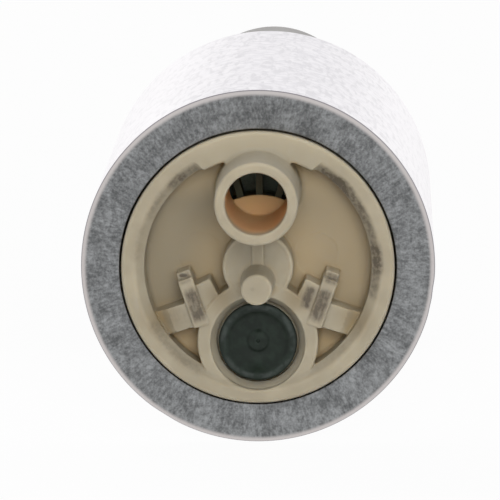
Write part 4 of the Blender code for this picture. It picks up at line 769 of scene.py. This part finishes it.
def chamfer_dirt(finish):
    """Dirt along the ring's inner chamfer: each row is a stretch of it in degrees round from the
    top, its strength, its middle radius and half its width."""
    stretches = (
        (-48.0, -40.0, 0.8, 12.75, 0.5), (-41.0, -31.0, 0.85, 12.7, 0.45),
        (-66.0, -50.0, 0.4, 12.85, 0.4), (-88.0, -70.0, 0.22, 13.1, 0.4),
        (32.0, 43.0, 1.15, 12.5, 0.45), (42.0, 51.0, 1.35, 12.65, 0.58),
        (51.0, 68.0, 0.9, 12.6, 0.48), (68.0, 80.0, 0.7, 12.65, 0.42),
        (79.0, 92.0, 1.3, 12.8, 0.52), (92.0, 105.0, 0.7, 12.65, 0.45),
        (118.0, 150.0, 0.25, 12.6, 0.4), (-152.0, -118.0, 0.4, 12.85, 0.5),
    )
    total = 0.0
    for low, high, strength, middle, half in stretches:
        along = finish.turn.band(*(math.radians(angle) for angle in (low, high, 2.5)))
        total = finish.out.band(middle - half, middle + half, 0.35) * along * strength + total
    return total


def clip_dirt_and_shade(finish):
    """Dirt on the clips' bars and steps, and on the right clip's block, with painted shade on the left
    clip's web.
    """
    inward, down = clip_axes(finish.x.absolute(), finish.z)
    streaks = finish.noise_on([inward * 3.0, down * 0.6, finish.x.rise(-1.0, 1.0) * 9.0], 3.0)
    right = finish.x.rise(-0.5, 0.5)
    bar = inward.band(-0.6, 0.8, 0.3) * down.band(1.3, 4.7, 0.5) * 1.1
    step = inward.band(-0.7, 0.6, 0.2) * down.band(-0.55, 0.45, 0.25) * (0.5 + right * 0.3)
    block_top = inward.band(1.2, 2.1, 0.3) * down.band(1.5, 3.8, 0.4) * right
    speck = (((finish.x + 8.08) / 0.5) ** 2.0 + ((finish.z + 1.03) / 0.22) ** 2.0) ** 0.5
    # Painted shade: the left clip's web is darker, on the side where less light falls.
    web = finish.spot(-9.0, -5.9, 2.8) * 0.3
    marks = (bar + step + block_top * 1.25 + web) * (0.7 + streaks.rise(0.3, 0.7) * 0.5)
    marks = marks + speck.rise(1.2, 0.6) * 0.8
    return finish.station.rise(1.4, 0.9) * marks


def valve_black(colours):
    """Glossy black, a little greyer on the lip, partly wear and partly a painted highlight."""
    finish = Finish("valve_black")
    black = tuple(colours.black)
    out = finish.distance(0.0, -VALVE_DROP)
    haze = finish.noise((1.2, 1.0, 1.2), 4.0)
    # Partly wear, partly painted highlight: the lip is greyer in patches.
    lip = out.band(3.5, 4.0, 0.15) * finish.noise(0.6, 3.0, 4.0).rise(0.35, 0.65)
    colour_all = finish.mix(haze.rise(0.35, 0.7), black, shade(black, 1.7))
    colour_all = finish.mix(lip * 0.5, colour_all, (0.045, 0.055, 0.05))
    return finish.close(
        Base_Color=colour_all, Roughness=0.3 + haze * 0.12, Specular_IOR_Level=0.15,
        Coat_Weight=lip * 0.3 + 0.15, Coat_Roughness=0.3,
        Normal=finish.bump(haze, 0.1, 0.02),
    )


def moulded(name, base, roughness=0.5):
    """A plain moulding with slight cloudiness and a fine grain."""
    finish = Finish(name)
    cloud = finish.noise(0.25, 3.0)
    grain = finish.noise(6.0, 4.0, 5.0)
    colour_all = finish.mix(cloud.rise(0.3, 0.7), shade(base, 0.86), shade(base, 1.1))
    return finish.close(
        Base_Color=colour_all, Roughness=roughness + grain * 0.12,
        Normal=finish.bump(grain, 0.12, 0.03),
    )


def machined(name, base, roughness, rings=6.0, grain_scale=3.0):
    """A metal with turning marks round the pump's axis and a fine mottle."""
    finish = Finish(name)
    marks = finish.round_noise(2.0, rings, rings, 4.0, 1.0)
    grain = finish.noise(grain_scale, 4.0, 2.0)
    tone = marks * 0.6 + grain * 0.4
    colour_all = finish.mix(tone.rise(0.35, 0.7), shade(base, 0.75), shade(base, 1.15))
    return finish.close(
        Base_Color=colour_all, Metallic=1.0, Roughness=roughness + tone * 0.15,
        Normal=finish.bump(tone, 0.2, 0.03),
    )


def wound(name, base, pitch):
    """Enamelled copper turns: fine ridges along the station axis with a little unevenness."""
    finish = Finish(name)
    wave = finish.station * (2 * math.pi / pitch) + finish.noise(0.5, 2.0) * 1.5
    ridge = wave.step("SINE", wave) * 0.5 + 0.5
    # Painted shade: the grooves between turns are darker.
    colour_all = finish.mix(ridge, shade(base, 0.45), base)
    return finish.close(
        Base_Color=colour_all, Metallic=1.0, Roughness=0.3 + ridge * 0.1,
        Normal=finish.bump(ridge, 0.6, 0.12),
    )


# One operator for each piece or group of pieces


class PieceOperator:
    bl_options = {"REGISTER", "UNDO"}


class PUMP_OT_shell(PieceOperator, bpy.types.Operator):
    """Turns the can: rolled front rim, smooth side and rear lip"""

    bl_idname = "pump.shell"
    bl_label = "Can"

    def execute(self, context):
        sizes = context.scene.pump_sizes
        corner, lip = sizes.can_corner / MM, sizes.lip_edge / MM
        bore = CAN_RADIUS - CAN_WALL
        outline = rounded([
            (FRONT_LIP_RADIUS, 0.0, lip),
            (CAN_RADIUS, 0.0, corner),
            (CAN_RADIUS, CAN_LENGTH, corner),
            (REAR_LIP_RADIUS, CAN_LENGTH, lip),
            (REAR_LIP_RADIUS, CAN_LENGTH - CAN_WALL, lip),
            (bore, CAN_LENGTH - CAN_WALL, 0.4),
            (bore, CAN_WALL, 0.4),
            (FRONT_LIP_RADIUS, CAN_WALL, lip),
        ])
        points, faces = turned_loop(split_long(outline, 0.9), sizes.segments)
        piece = make_piece("can", [(self.dented(points), faces)])
        settle(piece, "pump_body", "pump_shell", can_metal(context.scene.pump_colours))
        return {"FINISHED"}

    def dented(self, points):
        """Small knocks on the rim's edge: each draws the points inwards by a bell curve. The rows
        give an angle in degrees, a station, a width and a depth."""
        angle = np.arctan2(points[:, 0], points[:, 2])
        radius = np.hypot(points[:, 0], points[:, 2])
        pull = np.zeros(len(points))
        knocks = ((97.5, 0.35, 0.9, 0.09), (103, 0.5, 0.7, 0.05), (-148, 0.4, 1.2, 0.05))
        for degrees, station, width, depth in knocks:
            along = (angle - math.radians(degrees)) * CAN_RADIUS / width
            pull += depth * np.exp(-(along**2)) * np.exp(-(((points[:, 1] - station) / 0.7) ** 2))
        pull *= ramp(radius, CAN_RADIUS - 1.5, CAN_RADIUS - 0.4)
        scale = 1 - pull / np.maximum(radius, 1)
        return points * np.stack([scale, np.ones(len(points)), scale], -1)


class PUMP_OT_inlet_cover(PieceOperator, bpy.types.Operator):
    """Makes the cream inlet cover from its distance field, and the flange behind the can's lip"""

    bl_idname = "pump.inlet_cover"
    bl_label = "Inlet Cover"

    def execute(self, context):
        sizes = context.scene.pump_sizes

        def field(x, s, z):
            return cover_distance(x, s, z, sizes)

        points, faces, normals = net_shell(
            field, 14.9, sizes.cover_cell / MM,
            (-11.7, -10.8, 0.15), (-10.8, -8.2, 0.65), (-8.2, -7.45, 0.15), (-7.45, -1.2, 0.69),
            (-1.2, 0.6, 0.12), (0.6, 2.2, 0.25), (2.2, 2.8, 0.15), (2.8, 4.0, 0.4), (4.0, 4.9, 0.12),
            (4.9, 6.4, 0.5), (6.4, 7.2, 0.2), (7.2, 7.8, 0.3), (7.8, 8.2, 0.1),
        )
        depth = crevice(field, points, normals)
        flange = rounded([
            (RING_RADIUS - 0.5, 2.6), (FLANGE_RADIUS, 2.6, 0.3), (FLANGE_RADIUS, COVER_BACK, 0.3),
            (RING_RADIUS - 0.5, COVER_BACK),
        ])
        rim_points, rim_faces = turned_loop(flange, sizes.segments)
        centred = rim_points - [0, 5.3, 0]
        outwards = np.stack([centred[:, 0], np.sign(centred[:, 1]) * 0.01, centred[:, 2]], -1)
        piece = make_piece(
            "inlet_cover_moulding", [(points, faces), (rim_points, rim_faces)],
            normals=np.concatenate([normals, unit(outwards)]),
            marks={"crevice": np.concatenate([depth, np.ones(len(rim_points))])},
        )
        material = cream_plastic(context.scene.pump_colours)
        settle(piece, "pump_body", "inlet_cover", material)
        return {"FINISHED"}


class PUMP_OT_relief_valve(PieceOperator, bpy.types.Operator):
    """Turns the black relief valve: lip, dished face with a raised centre, and stem"""

    bl_idname = "pump.relief_valve"
    bl_label = "Relief Valve"

    def execute(self, context):
        sizes = context.scene.pump_sizes
        dish = sizes.valve_dish / MM
        front, end = VALVE_LOW.y / MM - CAN_FRONT, VALVE_HIGH.y / MM - CAN_FRONT
        floor = front + dish
        face = np.linspace(0, 1, 14)
        rise = (dish - 0.12) * (0.15 * face + 0.85 * face**2.4)
        middle = np.array([
            (0, -0.14), (0.1, -0.14), (0.19, -0.28), (0.35, -0.3), (0.8, -0.28), (0.98, -0.22),
            (1.12, -0.12), (1.24, -0.03),
        ])
        lip = np.array([
            (3.55, 0.05), (3.66, 0.01), (3.8, 0), (4.02, 0.02), (4.14, 0.09), (4.2, 0.2), (4.22, 0.45),
            (4.05, 1.6), (3.85, 1.7), (0.95, 1.7), (0.9, 1.76),
        ])
        outline = np.concatenate([
            middle + [0, floor], np.stack([1.35 + 2.0 * face, floor - rise], -1), lip + [0, front],
            [(0.9, end - 0.1), (0.8, end), (0, end)],
        ])
        piece = make_piece("relief_valve_head", [turned_cap(outline, 192, (0.0, -VALVE_DROP))])
        material = valve_black(context.scene.pump_colours)
        settle(piece, "relief_valve", "relief_valve", material)
        return {"FINISHED"}


class PUMP_OT_outlet_cover(PieceOperator, bpy.types.Operator):
    """Makes the grey outlet cover: dome, turret, barbed spigot, connector shroud and sleeve"""

    bl_idname = "pump.outlet_cover"
    bl_label = "Outlet Cover"

    def execute(self, context):
        end, tip = TURRET_BACK, SPIGOT_BACK
        points, faces, normals = net_shell(
            outlet_distance, 17.1, context.scene.pump_sizes.outlet_cell / MM,
            (70.5, 71.2, 0.2), (71.2, 74.0, 0.7), (74.0, 77.4, 0.2), (77.4, 85.2, 0.9),
            (85.2, 86.4, 0.2), (86.4, end - 9.6, 0.9), (end - 9.6, end - 8.6, 0.2),
            (end - 8.6, end - 3.2, 0.8), (end - 3.2, end + 0.6, 0.22), (end + 0.6, tip - 9.2, 0.8),
            (tip - 9.2, tip - 6.8, 0.15), (tip - 6.8, tip - 4.2, 0.5), (tip - 4.2, tip - 1.8, 0.15),
            (tip - 1.8, tip - 0.6, 0.4), (tip - 0.6, tip + 0.4, 0.12),
        )
        front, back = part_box("outlet_cover")[0].y / MM - CAN_FRONT, CAN_LENGTH - 1.5
        inner, groove = 15.0, 16.1
        seal = CAN_LENGTH - CAN_WALL - CLEARANCE - 3.5
        sleeve = rounded([
            (inner, front, 0.2), (FLANGE_RADIUS, front, 0.3), (FLANGE_RADIUS, seal - 1.0, 0.1),
            (groove, seal - 1.0, 0.1), (groove, seal + 1.0, 0.1), (FLANGE_RADIUS, seal + 1.0, 0.1),
            (FLANGE_RADIUS, back, 0.1), (inner, back),
        ])
        ring_points, ring_faces = turned_loop(sleeve, 128)
        outwards = ring_points - [0, 1, 0] * ring_points
        piece = make_piece(
            "outlet_cover_moulding", [(points, faces), (ring_points, ring_faces)],
            normals=np.concatenate([normals, unit(outwards)]),
        )
        material = moulded("grey_plastic", tuple(context.scene.pump_colours.outlet), 0.42)
        settle(piece, "pump_body", "outlet_cover", material)
        return {"FINISHED"}


class PUMP_OT_springs(PieceOperator, bpy.types.Operator):
    """Winds the four springs, each as long as its node"""

    bl_idname = "pump.springs"
    bl_label = "Springs"

    def execute(self, context):
        finish = machined("wire_steel", (0.50, 0.50, 0.51), 0.25, 2.0)
        for node, name, centre, radius, wire, turns in SPRINGS:
            piece = make_piece(node + "_coil", [coil(node, centre, radius, wire, turns)])
            settle(piece, "pump_body", node, finish)
            low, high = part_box(node)
            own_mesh(piece)
        return {"FINISHED"}


class PUMP_OT_brush_leads(PieceOperator, bpy.types.Operator):
    """Sweeps the two copper leads"""

    bl_idname = "pump.brush_leads"
    bl_label = "Brush Leads"

    def execute(self, context):
        finish = machined("lead_copper", (0.55, 0.24, 0.12), 0.22, 8.0)
        for side, hand in ((-1, "left"), (1, "right")):
            path = smooth_path(LEAD_KNOTS * [side, 1, 1], ROUTE_STEPS) - [0, CAN_FRONT, 0]
            aside = np.tile([6.0 * side, 0.0, 2.8], (len(path), 1))
            piece = make_piece(f"brush_lead_{hand}_wire", [swept_wire(path, aside, LEAD_RADIUS)])
            piece.data.materials.append(finish)
            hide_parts(f"brush_lead_{hand}")
            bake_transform(piece)
        return {"FINISHED"}


INNER_FINISHES = (
    # finish, its name, colour and settings, and the nodes that get it
    (machined, ("bright_steel", (0.6, 0.6, 0.61), 0.16),
     ("rotor_shaft", "thrust_button", "relief_valve_retainer")),
    (machined, ("core_steel", (0.30, 0.30, 0.31), 0.35, 12.0), ("armature_core",)),
    (machined, ("spring_steel", (0.50, 0.50, 0.51), 0.25, 2.0),
     ("magnet_clip_top", "magnet_clip_bottom")),
    (machined, ("cast_aluminium", (0.17, 0.21, 0.17), 0.4, 1.0, 6.0), ("pump_chamber",)),
    (machined, ("flux_steel", (0.36, 0.37, 0.38), 0.3), ("flux_ring",)),
    (machined, ("bronze", (0.45, 0.27, 0.12), 0.35, 1.0, 8.0), ("lower_bearing", "upper_bearing")),
    (machined, ("copper", (0.55, 0.24, 0.12), 0.22, 8.0), ("commutator",)),
    (machined, ("tinned_brass", (0.58, 0.53, 0.42), 0.22, 1.0, 5.0),
     ("terminal_negative", "terminal_positive")),
    (wound, ("copper_winding", (0.50, 0.17, 0.07), 0.45),
     ("armature_winding", "choke_left", "choke_right")),
    (moulded, ("black_rubber", (0.045, 0.042, 0.028), 0.55), ("outlet_seal", "check_valve")),
    (moulded, ("olive_rubber", (0.3, 0.23, 0.13), 0.55), ("inlet_seal",)),
    (moulded, ("ferrite", (0.035, 0.035, 0.038), 0.6), ("magnet_left", "magnet_right")),
    (moulded, ("carbon", (0.02, 0.02, 0.021), 0.45), ("brush_left", "brush_right")),
    (moulded, ("brown_plastic", (0.13, 0.07, 0.032), 0.4), ("brush_holder", "check_valve_seat")),
    (moulded, ("impeller_plastic", (0.055, 0.06, 0.036), 0.45), ("impeller",)),
)


class PUMP_OT_inner_finishes(PieceOperator, bpy.types.Operator):
    """Finishes the pieces that keep their CAD shape: pump stage, motor, brushes and contacts"""

    bl_idname = "pump.inner_finishes"
    bl_label = "Inner Finishes"

    def execute(self, context):
        for make, settings, nodes in INNER_FINISHES:
            material = make(*settings)
            for node in nodes:
                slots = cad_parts[node].data.materials
                slots.clear()
                slots.append(material)
        return {"FINISHED"}


CAMERA_DISTANCE = 0.689
CAMERA_ELEVATION = math.radians(7.2)
CAMERA_AZIMUTH = math.radians(1.1)
FOCAL_PIXELS = 6427.0
IMAGE_PIXELS = 500.0
SENSOR_WIDTH = 36.0
RIM_PIXEL = (257.88, 266.81)
FLOOR_REACH, FLOOR_STEPS = 3.0, 9
LAMPS = (
    # name, place, size, power
    ("key_lamp", (0.12, -1.38, 0.3), 0.6, 15.0),
    ("top_lamp", (0.3, -0.75, 1.15), 0.9, 5.0),
    ("back_lamp", (-0.5, 1.2, 0.75), 0.9, 8.0),
)


class PUMP_OT_stage(PieceOperator, bpy.types.Operator):
    """Sets the pale floor, the soft lamps, the white surround and the camera"""

    bl_idname = "pump.stage"
    bl_label = "Stage"

    def execute(self, context):
        context.scene.view_settings.view_transform = "Standard"
        self.make_camera(context)
        self.make_floor(context)
        self.make_world(context)
        for lamp in LAMPS:
            self.make_lamp(context, *lamp)
        return {"FINISHED"}

    def make_camera(self, context):
        """The rim's centre falls on RIM_PIXEL: the view axis is turned off it by those pixels."""
        flat = math.cos(CAMERA_ELEVATION)
        cosine, sine = math.cos(CAMERA_AZIMUTH), math.sin(CAMERA_AZIMUTH)
        toward = Vector((sine * flat, -cosine * flat, math.sin(CAMERA_ELEVATION)))
        rim = Vector((0.0, CAN_FRONT * MM, 0.0))
        spot = rim + toward * CAMERA_DISTANCE
        right = Vector((cosine, sine, 0.0))
        up = toward.cross(right)
        pixel = CAMERA_DISTANCE / FOCAL_PIXELS
        across, down = (place - IMAGE_PIXELS / 2 for place in RIM_PIXEL)
        aim = rim - right * pixel * across + up * pixel * down
        back = (spot - aim).normalized()
        side = (right - back * right.dot(back)).normalized()
        turn = Matrix((side, back.cross(side), back)).transposed()
        data = bpy.data.cameras.new("camera")
        data.sensor_width = SENSOR_WIDTH
        data.lens = FOCAL_PIXELS / IMAGE_PIXELS * SENSOR_WIDTH
        camera = bpy.data.objects.new("camera", data)
        camera.matrix_world = Matrix.Translation(spot) @ turn.to_4x4()
        context.scene.collection.objects.link(camera)
        context.scene.camera = camera

    def make_floor(self, context):
        """A flat square grid that the can lies on. Seen directly it is white with a soft shadow."""
        side = np.linspace(-FLOOR_REACH, FLOOR_REACH, FLOOR_STEPS) / MM
        x, s = np.meshgrid(side, side + CAN_LENGTH / 2, indexing="ij")
        points = np.stack([x, s, np.full(x.shape, -CAN_RADIUS)], -1).reshape(-1, 3)
        index = np.arange(len(points)).reshape(x.shape)
        quads = np.stack([index[:-1, :-1], index[1:, :-1], index[1:, 1:], index[:-1, 1:]], -1)
        floor = make_piece("floor", [(points, quads.reshape(-1, 4))])
        finish = Finish("pale_floor")
        cloud = finish.noise(0.01, 2.0)
        pale = finish.mix(cloud, (0.86, 0.86, 0.86), (0.9, 0.9, 0.9))
        finish.close(Base_Color=pale, Roughness=0.9, Specular_IOR_Level=0.0)
        glow = finish.raw("ShaderNodeEmission", {}, {"Color": WHITE, "Strength": 1.0})
        ray = finish.raw("ShaderNodeLightPath").outputs
        seen = Value(finish, ray["Is Camera Ray"]) * 0.95 + Value(finish, ray["Is Glossy Ray"]) * 0.92
        inputs = {0: seen, 1: finish.shader.outputs[0], 2: glow.outputs[0]}
        mixed = finish.raw("ShaderNodeMixShader", {}, inputs)
        finish.tree.links.new(mixed.outputs[0], finish.tree.nodes["Material Output"].inputs[0])
        floor.data.materials.append(finish.material)

    def make_world(self, context):
        """White where the camera, metal and glass see it, and a softer even light otherwise."""
        world = bpy.data.worlds.new("surround")
        world.use_nodes = True
        context.scene.world = world
        tree = world.node_tree
        tree.nodes.clear()

        def light(strength):
            inputs = {"Color": WHITE, "Strength": strength}
            return add_node(tree, "ShaderNodeBackground", {}, inputs).outputs[0]

        ray = tree.nodes.new("ShaderNodeLightPath").outputs
        seen = ray["Is Camera Ray"]
        for kind in ("Is Glossy Ray", "Is Transmission Ray"):
            inputs = {0: seen, 1: ray[kind]}
            seen = add_node(tree, "ShaderNodeMath", {"operation": "MAXIMUM"}, inputs).outputs[0]
        every = add_node(tree, "ShaderNodeMixShader", {}, {0: seen, 1: light(0.25), 2: light(1.0)})
        tree.links.new(every.outputs[0], tree.nodes.new("ShaderNodeOutputWorld").inputs[0])

    def make_lamp(self, context, name, place, size, power):
        data = bpy.data.lights.new(name, "AREA")
        data.shape = "SQUARE"
        data.size = size
        data.energy = power
        lamp = bpy.data.objects.new(name, data)
        lamp.location = place
        lamp.visible_glossy = False
        lamp.rotation_euler = Vector(place).to_track_quat("Z", "Y").to_euler()
        context.scene.collection.objects.link(lamp)


class PUMP_PT_panel(bpy.types.Panel):
    """Lists the pump's pieces, sizes and colours"""

    bl_idname = "PUMP_PT_panel"
    bl_label = "Fuel Pump"
    bl_space_type = "VIEW_3D"
    bl_region_type = "UI"
    bl_category = "Fuel Pump"

    def draw(self, context):
        for group in (context.scene.pump_sizes, context.scene.pump_colours):
            box = self.layout.box()
            for key in group.__annotations__:
                box.prop(group, key)
        for operator in OPERATORS:
            self.layout.operator(operator.bl_idname)


GROUPS = (PumpSizes, PumpColours)
OPERATORS = (
    PUMP_OT_shell,
    PUMP_OT_inlet_cover,
    PUMP_OT_relief_valve,
    PUMP_OT_outlet_cover,
    PUMP_OT_springs,
    PUMP_OT_brush_leads,
    PUMP_OT_inner_finishes,
    PUMP_OT_stage,
)


def register():
    for item in (*GROUPS, *OPERATORS, PUMP_PT_panel):
        bpy.utils.register_class(item)
    bpy.types.Scene.pump_sizes = PointerProperty(type=PumpSizes)
    bpy.types.Scene.pump_colours = PointerProperty(type=PumpColours)


def unregister():
    del bpy.types.Scene.pump_colours
    del bpy.types.Scene.pump_sizes
    for item in (PUMP_PT_panel, *reversed(OPERATORS), *reversed(GROUPS)):
        bpy.utils.unregister_class(item)


def main():
    register()
    bpy.ops.pump.shell()
    bpy.ops.pump.inlet_cover()
    bpy.ops.pump.relief_valve()
    bpy.ops.pump.outlet_cover()
    bpy.ops.pump.springs()
    bpy.ops.pump.brush_leads()
    bpy.ops.pump.inner_finishes()
    bpy.ops.pump.stage()


if __name__ == "__main__":
    main()
